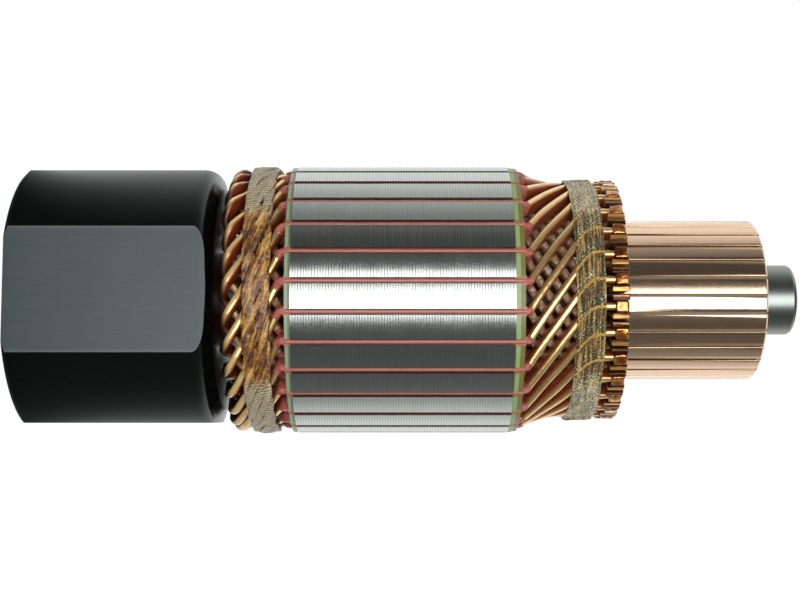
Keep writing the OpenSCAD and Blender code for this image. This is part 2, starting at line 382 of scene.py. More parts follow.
class Slot(Enum):
    """The material slots of the finishes."""

    GROUND_STEEL = "ground_steel"
    HUB_BLACK = "hub_black"
    CORE_STEEL = "core_steel"
    END_SHEET = "end_sheet"
    BACKING_SHEET = "backing_sheet"
    LINER = "liner"
    SEPARATOR = "separator"
    CONDUCTOR = "conductor"
    GLASS_CORD = "glass_cord"
    GLASS_TAPE = "glass_tape"
    TRACK_COPPER = "commutator_copper"
    MICA = "mica"
    RISER_SOLDER = "riser_solder"
    MOULDING = "moulding"
    BUSH_STEEL = "bush_steel"


@dataclass(frozen=True)
class Finish:
    """A surface finish. Each kind writes its own nodes."""

    slot: Slot

    def dress(self, graph: Graph) -> None:
        """Writes the nodes of the finish."""
        raise NotImplementedError

    def material(self) -> bpy.types.Material:
        """Gives the material of the finish, made once.

        Returns:
            The material.
        """
        name = f"finish_{self.slot.value}"
        made = bpy.data.materials.get(name)
        if made is None:
            made = bpy.data.materials.new(name)
            made.use_nodes = True
            self.dress(Graph(made.node_tree))
        return made


@dataclass(frozen=True)
class GroundSteel(Finish):
    """Steel ground round the shaft's axis, under brown varnish between the hub and the commutator."""

    tone: Colour = (0.295, 0.32, 0.3)
    brown: Colour = (0.11, 0.035, 0.014)
    roughness: float = 0.24
    varnish_z0: float = 58.0
    varnish_z1: float = 172.0

    def dress(self, graph: Graph) -> None:
        """Writes fine lines round the shaft, a faint mottle and the varnish.

        Args:
            graph: the node tree of the finish.
        """
        turn, height, radius = graph.cylinder()
        lines = graph.noise(graph.join(turn * 0.004, height * 7, radius * 7), 1.0, 4.0)
        mottle = graph.noise(graph.point(), 0.35, 2.0)
        bare = 1 - (height > self.varnish_z0) * (height < self.varnish_z1)
        steel = graph.mix(mottle, shaded(self.tone, 0.86), self.tone)
        graph.surface(
            Base_Color=graph.mix(bare, self.brown, steel),
            Metallic=bare,
            Roughness=self.roughness + lines * 0.14 + mottle * 0.05,
            Normal=graph.bump(lines, 0.012),
        )


@dataclass(frozen=True)
class HubBlack(Finish):
    """Black oxide on the drive hub: glossy where it is turned, greyer on its machined flats, where the grey
    is painted reflection of the lamp.
    """

    tone: Colour = (0.0022, 0.0028, 0.003)
    # The grey of the flats is painted reflection, and the edge tone is a painted highlight along their edges.
    painted_flat_reflection: Colour = (0.088, 0.104, 0.108)
    edge: Colour = (0.16, 0.18, 0.185)
    roughness: float = 0.17
    half_x: float = 37.0
    half_y: float = 36.0
    close: float = 0.04
    rim_r: float = 39.9

    def dress(self, graph: Graph) -> None:
        """Writes the flats with their grain, their painted grey reflection and a painted highlight along
        their edges.

        Args:
            graph: the node tree of the finish.
        """
        point = graph.point()
        x, y, z = graph.split(point)
        radius = (x * x + y * y).apply("SQRT")
        grain = graph.noise(graph.join(x * 3, y * 3, z * 0.1), 1.2, 4.0, 0.6)
        cloud = graph.noise(point, 0.12, 3.0)
        flat = (y.apply("ABSOLUTE") > self.half_y - self.close).apply(
            "MAXIMUM", x.apply("ABSOLUTE") > self.half_x - self.close)
        # Painted highlight: the outer edges of the flats are lighter.
        painted_edge_highlight = radius.band(self.rim_r - 0.35, self.rim_r) * 0.5
        # Painted reflection: the flats are grey, with their grain.
        grey = graph.mix(grain * 0.7 + cloud * 0.3, shaded(self.painted_flat_reflection, 0.75), shaded(self.painted_flat_reflection, 1.25))
        graph.surface(
            Base_Color=graph.mix(flat, self.tone, graph.mix(painted_edge_highlight, grey, self.edge)),
            Roughness=self.roughness + grain * 0.08 + cloud * 0.05 + flat * 0.28,
            Specular_IOR_Level=0.38,
            Specular_Tint=(0.85, 1.0, 0.95, 1.0),
            Normal=graph.bump(grain, 0.008),
        )


@dataclass(frozen=True)
class CoreSteel(Finish):
    """Punched electrical steel, seen on the edges of its sheets."""

    sheet: float = 0.765
    start: float = 0.0
    tone: Colour = (0.6, 0.64, 0.6)
    groove: Colour = (0.05, 0.06, 0.05)
    # Near black on the slot walls: painted shade inside the slot mouths.
    varnish_and_painted_shade: Colour = (0.03, 0.016, 0.01)
    slots: int = 29
    slot_turn: float = 2.8
    lean: float = 0.07
    crown_r: float = 40.0

    def dress(self, graph: Graph) -> None:
        """Writes the joints of the sheets, a varnish cloud, the lean of each tooth and painted shade on the
        slot walls.

        Args:
            graph: the node tree of the finish.
        """
        turn, height, radius = graph.cylinder()
        # wall is the slot walls below the crown, painted near black as shade.
        wall = 1 - radius.band(self.crown_r - 0.35, self.crown_r - 0.2)
        along = (height - self.start) / self.sheet
        each = graph.cells(graph.join(along, 0, 0))
        within = along.apply("FRACT")
        joint = (within - 0.5).apply("ABSOLUTE").band(0.28, 0.5)
        cloud = graph.noise(graph.point(), 0.16, 4.0, 0.55)
        tooth = (turn - self.slot_turn) * (self.slots / 360)
        which = tooth.apply("FLOOR")
        across = (tooth - which - 0.5) * (2 * math.pi * self.crown_r / self.slots)
        leaning = across * (which * 2.4 + 1.1).apply("SINE") * self.lean
        steel = graph.mix(each * 0.15 + cloud * 0.85, shaded(self.tone, 0.86), self.tone)
        graph.surface(
            Base_Color=graph.mix(wall, graph.mix(joint * 0.35, steel, self.groove), self.varnish_and_painted_shade),
            Metallic=1 - wall,
            Roughness=0.14 + cloud * 0.08 + joint * 0.05 + wall * 0.3,
            Normal=graph.bump(leaning - joint * 0.004 + each * 0.001, 1.0),
        )


@dataclass(frozen=True)
class LaminatedSheet(Finish):
    """Glass-and-resin sheet, with amber varnish where the coils pass."""

    tone: Colour = (0.4, 0.5, 0.2)
    rear_tone: Colour = (0.31, 0.42, 0.25)
    stain: Colour = (0.4, 0.22, 0.05)
    last_tone: Colour = (0.06, 0.085, 0.05)
    dark_z: float = 0.0
    slots: int = 29
    slot_turn: float = 2.8

    def dress(self, graph: Graph) -> None:
        """Writes layers, a cloud, a darker last layer and varnish stains at the slots.

        Args:
            graph: the node tree of the finish.
        """
        turn, height, radius = graph.cylinder()
        pitch = 360 / self.slots
        nearest = ((turn - self.slot_turn) / pitch + 0.5).apply("FRACT")
        off_slot = (nearest - 0.5).apply("ABSOLUTE") * pitch
        wander = graph.noise(graph.point(), 1.1, 4.0, 0.6)
        stained = 1 - (off_slot + wander * 1.6).band(1.5, 2.9)
        layers = graph.noise(graph.join(turn * 0.05, height * 9, radius * 2), 1.0, 3.0)
        cloud = graph.noise(graph.point(), 0.5, 3.0)
        rear_end = self.dark_z + 3
        sheet = graph.mix(height > rear_end, self.rear_tone, self.tone)
        base = graph.mix(cloud * 0.6 + layers * 0.4, sheet, graph.mix(0.4, sheet, (0.0, 0.0, 0.0)))
        last = (height + wander * 0.2 > self.dark_z) * (height < rear_end) * 0.7
        graph.surface(
            Base_Color=graph.mix(stained * 0.75, graph.mix(last, base, self.last_tone), self.stain),
            Roughness=0.36 - stained * 0.2 + layers * 0.1,
            Coat_Weight=0.3 + stained * 0.5,
            Coat_Roughness=0.18,
            Normal=graph.bump(layers + wander * 0.5, 0.06),
        )


@dataclass(frozen=True)
class VarnishedPaper(Finish):
    """Red insulating paper, wrinkled and steeped in varnish, with painted shade making it dark between two
    heights where it is sunk.
    """

    tone: Colour = (0.5, 0.105, 0.07)
    worn_and_painted_sheen: Colour = (0.62, 0.26, 0.2)
    strip: Colour = (0.43, 0.135, 0.088)
    # Painted shade for the paper that is sunk in the slots.
    varnish_and_painted_shade: Colour = (0.03, 0.01, 0.008)
    low: float = 0.0
    high: float = 0.0

    def dress(self, graph: Graph) -> None:
        """Writes blotches and fine wrinkles, and painted shade beside the strips in the slots.

        Args:
            graph: the node tree of the finish.
        """
        point = graph.point()
        blotch = graph.noise(point, 0.7, 4.0, 0.6)
        wrinkle = graph.noise(point, 2.6, 5.0, 0.65)
        _, height, radius = graph.cylinder()
        outside = radius.band(38.6, 39.2)
        # Painted shade: within the core's length, the paper below the slot mouths goes near black.
        sunk = (1 - radius.band(39.15, 39.4)) * (height > self.low) * (height < self.high)
        tone = graph.ramp(blotch, [(0.25, shaded(self.tone, 0.35)), (0.5, self.tone), (0.78, self.worn_and_painted_sheen)])
        graph.surface(
            Base_Color=graph.mix(sunk * 0.92, graph.mix(outside * 0.8, tone, self.strip), self.varnish_and_painted_shade),
            Roughness=0.2 + wrinkle * 0.12 + outside * 0.15,
            Specular_IOR_Level=0.9,
            Normal=graph.bump(wrinkle * (1.1 - outside), 0.4),
        )


@dataclass(frozen=True)
class VarnishedCopper(Finish):
    """Copper bar under varnish, with a painted golden highlight on its crest and painted dark red shade down
    its sides.

    The bars of the inner layer are dull and dusty, and the noses fade into a painted shadow of the hub.
    """

    # Painted light: bright is a highlight on the crest; brown, deep and the two tones after them are shade
    # down the sides, darker on one side at the rear.
    bright: Colour = (0.96, 0.66, 0.28)
    brown: Colour = (0.56, 0.26, 0.09)
    deep: Colour = (0.33, 0.068, 0.016)
    painted_flank_shade: Colour = (0.19, 0.03, 0.008)
    painted_hollow_shade: Colour = (0.018, 0.007, 0.004)
    # Painted shadow of the hub over the noses.
    varnish_and_painted_shade: Colour = (0.03, 0.01, 0.005)
    dull: Colour = (0.4, 0.21, 0.1)
    dust: Colour = (0.75, 0.64, 0.5)
    inner_from: float = 150.0
    nose_z: float = 60.0

    def dress(self, graph: Graph) -> None:
        """Writes the painted crest highlight and side shade, the painted hub shadow on the noses, streaks
        along the bar and the dull layer.

        Args:
            graph: the node tree of the finish.
        """
        along = graph.attribute("along")
        rise = graph.attribute("rise")
        side = graph.attribute("side")
        _, height, _ = graph.cylinder()
        streak = graph.noise(graph.join(along * 0.14, rise * 2.2, side * 2.2), 1.0, 4.0, 0.6)
        cloud = graph.noise(graph.point(), 0.22, 3.0)
        run = graph.noise(graph.point(), 0.9, 3.0, 0.6)
        rear = 1 - height.band(self.nose_z + 9, self.nose_z + 14)
        # level sets the painted highlight on the crest and the painted shade down the sides, moved to one
        # side at the rear.
        level = rise + streak * 0.5 + cloud * 0.3 - 0.4 + rear * (0.25 - side.apply("MAXIMUM", -0.4) * 0.8)
        painted_flank_shade = graph.mix(rear, self.deep, graph.mix(side > 0, self.painted_hollow_shade, self.painted_flank_shade))
        shoulder = graph.mix(level.band(1.35, 1.95), painted_flank_shade, self.brown)
        gold = graph.mix(level.band(1.9, 2.2), shoulder, self.bright)
        inner = along.band(self.inner_from + 5, self.inner_from + 10)
        speck = run.band(0.48, 0.62) * (rise.band(1.0, 1.9) * 0.8 + 0.2)
        colour = graph.mix(inner * 0.92, gold, graph.mix(speck, self.dull, self.dust))
        # lit fades the noses into the painted shadow of the hub.
        lit = height.band(self.nose_z + 0.7, self.nose_z + 2.6)
        graph.surface(
            Base_Color=graph.mix(lit, self.varnish_and_painted_shade, colour),
            Metallic=(0.35 - rear * 0.2 + level.band(1.4, 2.1) * (0.55 - rear * 0.2)) * (1 - inner * 0.85),
            Roughness=0.2 + streak * 0.14 + run * 0.08 + inner * 0.3,
            Coat_Weight=(0.75 - inner * 0.6) * (1 - rear * side.band(0.2, 1.0) * 0.85) * lit,
            Coat_Roughness=0.12,
            Normal=graph.bump(streak * 0.6 + run * 0.8, 0.09),
        )


@dataclass(frozen=True)
class GlassCord(Finish):
    """Glass fibre steeped in varnish, golden brown, with painted shade in its crevices and pale patches of
    painted sheen.
    """

    pale: Colour = (0.76, 0.48, 0.15)
    amber: Colour = (0.4, 0.18, 0.025)
    varnish_and_painted_shade: Colour = (0.16, 0.055, 0.01)
    dark: Colour = (0.05, 0.018, 0.012)
    # grey and gap make the pale cloth shown as painted sheen.
    grey: Colour = (0.7, 0.62, 0.4)
    gap: Colour = (0.17, 0.155, 0.1)
    thread: float = 0.95
    lay: float = 0.33
    # Turn of one of three pale patches of painted sheen.
    painted_sheen_turn: float = 57.0

    def dress(self, graph: Graph) -> None:
        """Writes fibres that run along each strand, painted shade low on it and pale patches of painted
        sheen.

        Args:
            graph: the node tree of the finish.
        """
        rise = graph.attribute("rise")
        turn, height, radius = graph.cylinder()
        around = turn * (40 * math.pi / 180)
        across = height * math.cos(self.lay) - around * math.sin(self.lay)
        length = around * math.cos(self.lay) + height * math.sin(self.lay)
        bundle = graph.noise(graph.join(across * 0.5, length * 0.1, radius * 0.2), 1.0, 3.0, 0.55)
        fibre = graph.noise(graph.join(across * 1.5, length * 0.3, radius * 0.6), 1.0, 3.0, 0.6)
        soak = graph.noise(graph.point(), 0.25, 3.0, 0.6)
        spot = graph.noise(graph.point(), 1.2, 3.0, 0.65)
        shade = bundle * 0.4 + fibre * 0.3 + spot * 0.2 + soak * 0.1
        gold = graph.ramp(shade, [
            (0.42, self.dark), (0.47, self.varnish_and_painted_shade), (0.525, self.amber), (0.6, self.pale)])
        # Painted sheen: pale cloth at three turns round the shaft.
        worn_and_painted_sheen = (thrice_round(turn, self.painted_sheen_turn) + spot * 0.6 - 0.3).band(0.2, 0.6)
        weft = ((height * 0.25 - around + soak * 1.5) * (2 * math.pi / self.thread)).apply("SINE") * 0.5 + 0.5
        cloth = graph.mix((weft * 0.75 + spot * 0.6).band(0.35, 0.95), self.gap, self.grey)
        # Painted shade: the low side of each strand goes dark.
        painted_crevice_shade = (rise + fibre * 0.8 - 0.6).band(-0.15, 0.35)
        graph.surface(
            Base_Color=graph.mix(painted_crevice_shade, self.dark, graph.mix(worn_and_painted_sheen * 0.75, gold, cloth)),
            Roughness=0.17 + fibre * 0.15 + worn_and_painted_sheen * 0.15,
            Specular_IOR_Level=1.0,
            Normal=graph.bump(bundle * 1.2 + fibre * 0.8 + spot * 0.35 + worn_and_painted_sheen * weft * 0.2, 0.6),
        )


@dataclass(frozen=True)
class GlassTape(Finish):
    """Woven glass tape under varnish: dark green, amber beside the bars, with a painted highlight along the
    ridge over each bar and pale patches of painted sheen.
    """

    thread: float = 0.62
    dark: Colour = (0.014, 0.022, 0.012)
    green: Colour = (0.07, 0.086, 0.022)
    straw: Colour = (0.27, 0.25, 0.115)
    pale: Colour = (0.84, 0.75, 0.46)
    gap: Colour = (0.16, 0.16, 0.1)
    amber: Colour = (0.18, 0.085, 0.01)
    gold: Colour = (0.46, 0.27, 0.05)
    # Turn of one of three pale patches of painted sheen.
    painted_sheen_turn: float = 57.0

    def dress(self, graph: Graph) -> None:
        """Writes the threads round the shaft, the amber pools, the painted highlight on the crests and the
        painted sheen.

        Args:
            graph: the node tree of the finish.
        """
        turn, height, radius = graph.cylinder()
        crest = graph.attribute("crest")
        below = graph.attribute("below")
        around = turn * (36 * math.pi / 180)
        drift = graph.noise(graph.point(), 0.6, 3.0, 0.6) * 1.8
        warp = ((around + drift) * (math.pi / self.thread)).apply("SINE")
        weft = ((height + drift) * (math.pi / self.thread)).apply("SINE")
        weave = warp * weft * 0.5 + 0.5
        lay = graph.join(around * 0.12, height * 1.6, radius * 0.3)
        strand = graph.noise(lay, 1.0, 3.0, 0.55).band(0.2, 0.8)
        fleck = graph.noise(graph.point(), 1.7, 3.0, 0.6).band(0.2, 0.8)
        patch = graph.noise(graph.point(), 0.3, 2.0)
        light = weave * 0.3 + fleck * 0.5 + strand * 0.45 - 0.2
        cloth = graph.ramp(light, [
            (0.25, self.dark), (0.43, self.green), (0.54, self.straw), (0.66, self.pale)])
        pool = (below * 0.6 + patch * 1.2 - 0.36).band(0.05, 0.5)
        tint = graph.ramp(strand * 0.8 + fleck * 0.2, [
            (0.34, shaded(self.amber, 0.2)), (0.5, self.amber), (0.68, self.gold)])
        # Painted sheen: pale plain cloth at three turns round the shaft.
        bare = (thrice_round(turn, self.painted_sheen_turn) + fleck * 0.6 - 0.3).band(0.35, 0.8)
        plain = graph.mix((weave * 0.3 + fleck * 0.4 + strand * 0.4).band(0.3, 0.8), self.gap, self.pale)
        varnish_and_painted_shade = graph.mix(pool * 0.85, cloth, tint)
        # Painted highlight: the amber over each bar's crest is brightened to gold.
        ridge = (crest + fleck * 0.25 - 0.12).band(0.25, 0.7)
        thread = graph.mix(fleck.band(0.3, 0.7), shaded(self.gold, 0.8), shaded(self.gold, 1.7))
        graph.surface(
            Base_Color=graph.mix(ridge * (0.9 - bare * 0.6), graph.mix(bare * 0.8, varnish_and_painted_shade, plain), thread),
            Roughness=0.2 + fleck * 0.12,
            Specular_IOR_Level=0.85,
            Normal=graph.bump(weave * 0.35 + fleck * 0.7 + strand * 0.4, 0.42),
        )


@dataclass(frozen=True)
class TrackCopper(Finish):
    """Copper turned to a bright brush track, with dark varnish on the risers."""

    tone: Colour = (0.87, 0.62, 0.42)
    # amber is a painted highlight on the risers' cheeks.
    amber: Colour = (0.68, 0.33, 0.09)
    dark: Colour = (0.05, 0.015, 0.008)
    slots: int = 29
    first_turn: float = 0.0
    track_z: float = 173.4

    def dress(self, graph: Graph) -> None:
        """Writes turned lines, a tone for each bar, the varnish and a painted highlight on the risers'
        cheeks.

        Args:
            graph: the node tree of the finish.
        """
        turn, height, radius = graph.cylinder()
        place_in = (turn - self.first_turn) * (self.slots / 360) + 0.5
        each = graph.cells(graph.join(place_in, 0, 0))
        lines = graph.noise(graph.join(turn * 0.01, height * 5, radius * 5), 1.0, 4.0, 0.6)
        cloud = graph.noise(graph.point(), 0.3, 3.0)
        blotch = graph.noise(graph.join(turn * 0.35, height * 0.3, radius * 0.5), 1.0, 3.0, 0.6)
        copper = graph.mix(each * 0.5 + cloud * 0.5, shaded(self.tone, 0.88), self.tone)
        within = place_in.apply("FRACT") + (blotch - 0.5) * 0.12
        # Painted highlight: amber strips on the dark varnish at each riser's cheeks, weaker on one side.
        varnish = graph.ramp(within, [
            (0.02, self.dark), (0.06, self.amber), (0.17, self.amber), (0.22, self.dark),
            (0.84, self.dark), (0.88, shaded(self.amber, 0.7)), (0.92, self.dark)])
        riser = 1 - height.band(self.track_z - 0.35, self.track_z + 0.1)
        graph.surface(
            Base_Color=graph.mix(riser, copper, varnish),
            Metallic=1 - riser * 0.35,
            Roughness=0.1 + lines * 0.1 + cloud * 0.04 + riser * 0.12,
            Normal=graph.bump(lines + blotch * riser * 20, 0.01),
        )


@dataclass(frozen=True)
class AmberVarnish(Finish):
    """Solder and varnish in the risers, glossy amber with bubbles, and dark borders of painted shade down
    their sides.
    """

    bright: Colour = (0.85, 0.4, 0.07)
    middle: Colour = (0.4, 0.11, 0.018)
    deep: Colour = (0.16, 0.025, 0.008)

    def dress(self, graph: Graph) -> None:
        """Writes blotches of thick and thin varnish, and painted shade down the sides of each lump.

        Args:
            graph: the node tree of the finish.
        """
        point = graph.point()
        blotch = graph.noise(point, 0.42, 4.0, 0.6)
        grain = graph.noise(point, 1.6, 3.0, 0.6)
        edge = graph.attribute("edge")
        # Painted shade: edge darkens the sides of each lump.
        thin = blotch * 0.9 + grain * 0.1 - edge * 0.3
        graph.surface(
            Base_Color=graph.ramp(thin, [(0.3, self.deep), (0.46, self.middle), (0.6, self.bright)]),
            Metallic=0.85,
            Roughness=0.15,
            Coat_Weight=1.0,
            Coat_Roughness=0.05,
            Normal=graph.bump(blotch + grain * 0.2, 0.35),
        )


@dataclass(frozen=True)
class PlainSolid(Finish):
    """Moulding, mica, spacers and other plain parts, with a fine mottle."""

    tone: Colour = (0.1, 0.1, 0.1)
    roughness: float = 0.5
    metallic: float = 0.0
    grain: float = 1.2

    def dress(self, graph: Graph) -> None:
        """Writes the mottle in tone, gloss and relief.

        Args:
            graph: the node tree of the finish.
        """
        mottle = graph.noise(graph.point(), self.grain, 4.0, 0.6)
        graph.surface(
            Base_Color=graph.mix(mottle, shaded(self.tone, 0.65), shaded(self.tone, 1.3)),
            Metallic=self.metallic,
            Roughness=self.roughness + mottle * 0.15,
            Normal=graph.bump(mottle, 0.04),
        )


# ------------------------------------------------------------------ mesh tools


@dataclass(frozen=True)
class Section:
    """A rounded rectangle that is swept along a path."""

    width: float
    height: float
    corner: float
    segments: int = 3

    def draw(self, mesh: bmesh.types.BMesh) -> bmesh.types.BMFace:
        """Draws the section in the XY plane and gives its face.

        Args:
            mesh: the shape that it is drawn in.

        Returns:
            The face.
        """
        bmesh.ops.create_grid(mesh, x_segments=1, y_segments=1, size=0.5)
        bmesh.ops.scale(mesh, vec=(self.width, self.height, 1), verts=mesh.verts[:])
        bmesh.ops.bevel(
            mesh, geom=mesh.verts[:], affect="VERTICES", offset=self.corner,
            segments=self.segments, profile=0.5, material=-1)
        mesh.faces.ensure_lookup_table()
        return mesh.faces[0]


@dataclass(frozen=True)
class Station:
    """One place of a section along a path."""

    point: Vector
    tangent: Vector
    up: Vector
    along: float
    wide: float = 1.0
    high: float = 1.0
    tilt: float = 0.0

    def matrix(self) -> Matrix:
        """Gives the matrix that puts the section here.

        Returns:
            The matrix.
        """
        up = (self.up - self.up.dot(self.tangent) * self.tangent).normalized()
        up = Matrix.Rotation(math.radians(self.tilt), 3, self.tangent) @ up
        side = up.cross(self.tangent)
        turn = Matrix((side * self.wide, up * self.high, self.tangent)).transposed().to_4x4()
        return Matrix.Translation(self.point) @ turn


def stations(
    points: Sequence[Vector], up_at: Callable[[Vector], Vector],
    scales: Sequence[tuple[float, float]] | None = None, tilts: Sequence[float] | None = None
) -> list[Station]:
    """Puts a station on each point of a path.

    Args:
        points: the path.
        up_at: gives the direction of the section's height at a point.
        scales: width and height factors for each point.
        tilts: turn of the section about the path at each point, in degrees.

    Returns:
        The stations, with the length of the path up to each.
    """
    made: list[Station] = []
    along = 0.0
    for i, point in enumerate(points):
        before = points[max(i - 1, 0)]
        after = points[min(i + 1, len(points) - 1)]
        along += (point - before).length
        wide, high = scales[i] if scales else (1.0, 1.0)
        tilt = tilts[i] if tilts else 0.0
        made.append(Station(point, (after - before).normalized(), up_at(point), along, wide, high, tilt))
    return made


def radial(point: Vector) -> Vector:
    """Gives the direction away from the shaft's axis."""
    return Vector((point.x, point.y, 0)).normalized()


def of_kind(parts: Iterable[Any], kind: type) -> list[Any]:
    """Gives the parts of a mesh that are of one kind, in their order."""
    return [part for part in parts if isinstance(part, kind)]


def _run(section: Section, path: Sequence[Station], capped: tuple[bool, bool]) -> bmesh.types.BMesh:
    """Extrudes a section along a short path.

    Args:
        section: the section.
        path: the stations.
        capped: whether the shape is closed at its start and at its end.

    Returns:
        The shape.
    """
    mesh = bmesh.new()
    face = first = section.draw(mesh)
    side, rise, along = (mesh.verts.layers.float.new(name) for name in ("side", "rise", "along"))
    for vert in face.verts:
        vert[side] = vert.co.x
        vert[rise] = vert.co.y
        vert[along] = path[0].along
    here = path[0].matrix()
    bmesh.ops.transform(mesh, matrix=here, verts=face.verts[:])
    for station in path[1:]:
        grown = bmesh.ops.extrude_face_region(mesh, geom=[face])["geom"]
        face = of_kind(grown, bmesh.types.BMFace)[0]
        there = station.matrix()
        bmesh.ops.transform(mesh, matrix=there @ here.inverted(), verts=face.verts[:])
        for vert in face.verts:
            vert[along] = station.along
        here = there
    open_ends = [end for end, closed in zip((first, face), capped) if not closed]
    bmesh.ops.delete(mesh, geom=open_ends, context="FACES_ONLY")
    return mesh


def sweep(section: Section, path: Sequence[Station]) -> bmesh.types.BMesh:
    """Extrudes a section from station to station, in runs that are then joined.

    The vertices keep where they lie in the section, as side and rise, and how far
    along the path they are, for the finishes that follow the piece.

    Args:
        section: the section.
        path: the stations.

    Returns:
        The closed shape.
    """
    last = len(path) - 1
    starts = range(0, last, RUN_LENGTH)
    runs = [_run(section, path[start : start + RUN_LENGTH + 1], (start == 0, start + RUN_LENGTH >= last))
            for start in starts]
    if len(runs) == 1:
        return runs[0]
    whole = gather(runs)
    bmesh.ops.remove_doubles(whole, verts=whole.verts[:], dist=0.0002)
    return whole


def settled(name: str, mesh: bmesh.types.BMesh) -> bpy.types.Mesh:
    """Writes a shape to a named mesh and frees it.

    Args:
        name: the mesh's name.
        mesh: the shape.

    Returns:
        The mesh.
    """
    data = bpy.data.meshes.new(name)
    mesh.to_mesh(data)
    mesh.free()
    return data


def linked(name: str, data: Any) -> bpy.types.Object:
    """Puts a mesh, camera or lamp into the scene as an object.

    Args:
        name: the object's name.
        data: the mesh, camera or lamp.

    Returns:
        The object.
    """
    made = bpy.data.objects.new(name, data)
    bpy.context.scene.collection.objects.link(made)
    return made


def gather(parts: Iterable[bmesh.types.BMesh]) -> bmesh.types.BMesh:
    """Puts several shapes into one and frees them.

    Args:
        parts: the shapes.

    Returns:
        The one shape.
    """
    whole = bmesh.new()
    for part in parts:
        loose = settled("loose", part)
        whole.from_mesh(loose)
        bpy.data.meshes.remove(loose)
    return whole


def repeated(mesh: bmesh.types.BMesh, count: int) -> bmesh.types.BMesh:
    """Repeats a shape evenly round the shaft's axis.

    Args:
        mesh: the shape.
        count: how many of it there are in the end.

    Returns:
        The same shape with its copies.
    """
    bmesh.ops.spin(
        mesh, geom=mesh.verts[:] + mesh.edges[:] + mesh.faces[:], cent=(0, 0, 0), axis=(0, 0, 1),
        angle=math.radians(360 * (count - 1) / count), steps=count - 1, use_duplicate=True)
    return mesh


def show(
    name: str, mesh: bmesh.types.BMesh, finish: Finish, stands_for: Sequence[str], crease: float
) -> None:
    """Turns a shape in millimetres into a piece of the armature.

    Args:
        name: the piece's name.
        mesh: its shape, which is freed.
        finish: its finish.
        stands_for: the CAD nodes that it replaces.
        crease: the angle in degrees from which an edge is sharp.
    """
    bmesh.ops.scale(mesh, vec=(MM, MM, MM), verts=mesh.verts[:])
    bmesh.ops.recalc_face_normals(mesh, faces=mesh.faces[:])
    data = settled(name, mesh)
    data.shade_smooth()
    data.set_sharp_from_angle(angle=math.radians(crease))
    data.materials.append(finish.material())
    piece = linked(name, data)
    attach(piece, BODY)
    if stands_for:
        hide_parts(*stands_for)
    triangles = sum(len(polygon.vertices) - 2 for polygon in data.polygons)
    LOG.info("%s: %d triangles, stands for %s", name, triangles, ", ".join(stands_for) or "nothing")


# ------------------------------------------------------------------ the armature


@dataclass(frozen=True)
class Layout:
    """Stations of the armature along its shaft, taken from the CAD nodes."""

    core_z0: float
    core_z1: float
    front_z: float
    liner_z0: float
    liner_z1: float
    nose_z: float
    riser_z: float
    tape_z0: float
    tape_z1: float
    lead_end: float
    core_r: float
    hub_z1: float
    slots: int = 29
    slot_turn: float = 2.8
    lead_shift: float = 1.7
    riser_t: float = 4.8

    @property
    def pitch(self) -> float:
        """Turn from one slot to the next."""
        return 360 / self.slots

    @property
    def track_z(self) -> float:
        """Height at which the brush track starts."""
        return self.riser_z + self.riser_t

    @property
    def lead_turn(self) -> float:
        """Turn from a slot to the riser that its outer bar leads to."""
        return 3 * self.pitch + self.lead_shift

    def slot_at(self, index: int) -> float:
        """Gives the turn at which a slot lies."""
        return self.slot_turn + index * self.pitch

    @classmethod
    def from_frame(cls) -> "Layout":
        """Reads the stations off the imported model.

        Returns:
            The stations.
        """

        def span(node: str) -> tuple[float, float]:
            """Gives a node's lowest and highest height."""
            low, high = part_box(node)
            return low.z / MM, high.z / MM

        core = span("lamination_stack")
        tape = span("binding_front")
        liner = span("slot_liners")
        coil = span("coil_01")
        return cls(
            core_z0=core[0], core_z1=core[1], front_z=span("end_spacer_front")[1],
            liner_z0=liner[0], liner_z1=liner[1], nose_z=coil[0], lead_end=coil[1],
            riser_z=span("commutator_bars")[0], tape_z0=tape[0], tape_z1=tape[1],
            core_r=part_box("lamination_stack")[1].x / MM, hub_z1=span("drive_hub")[1])


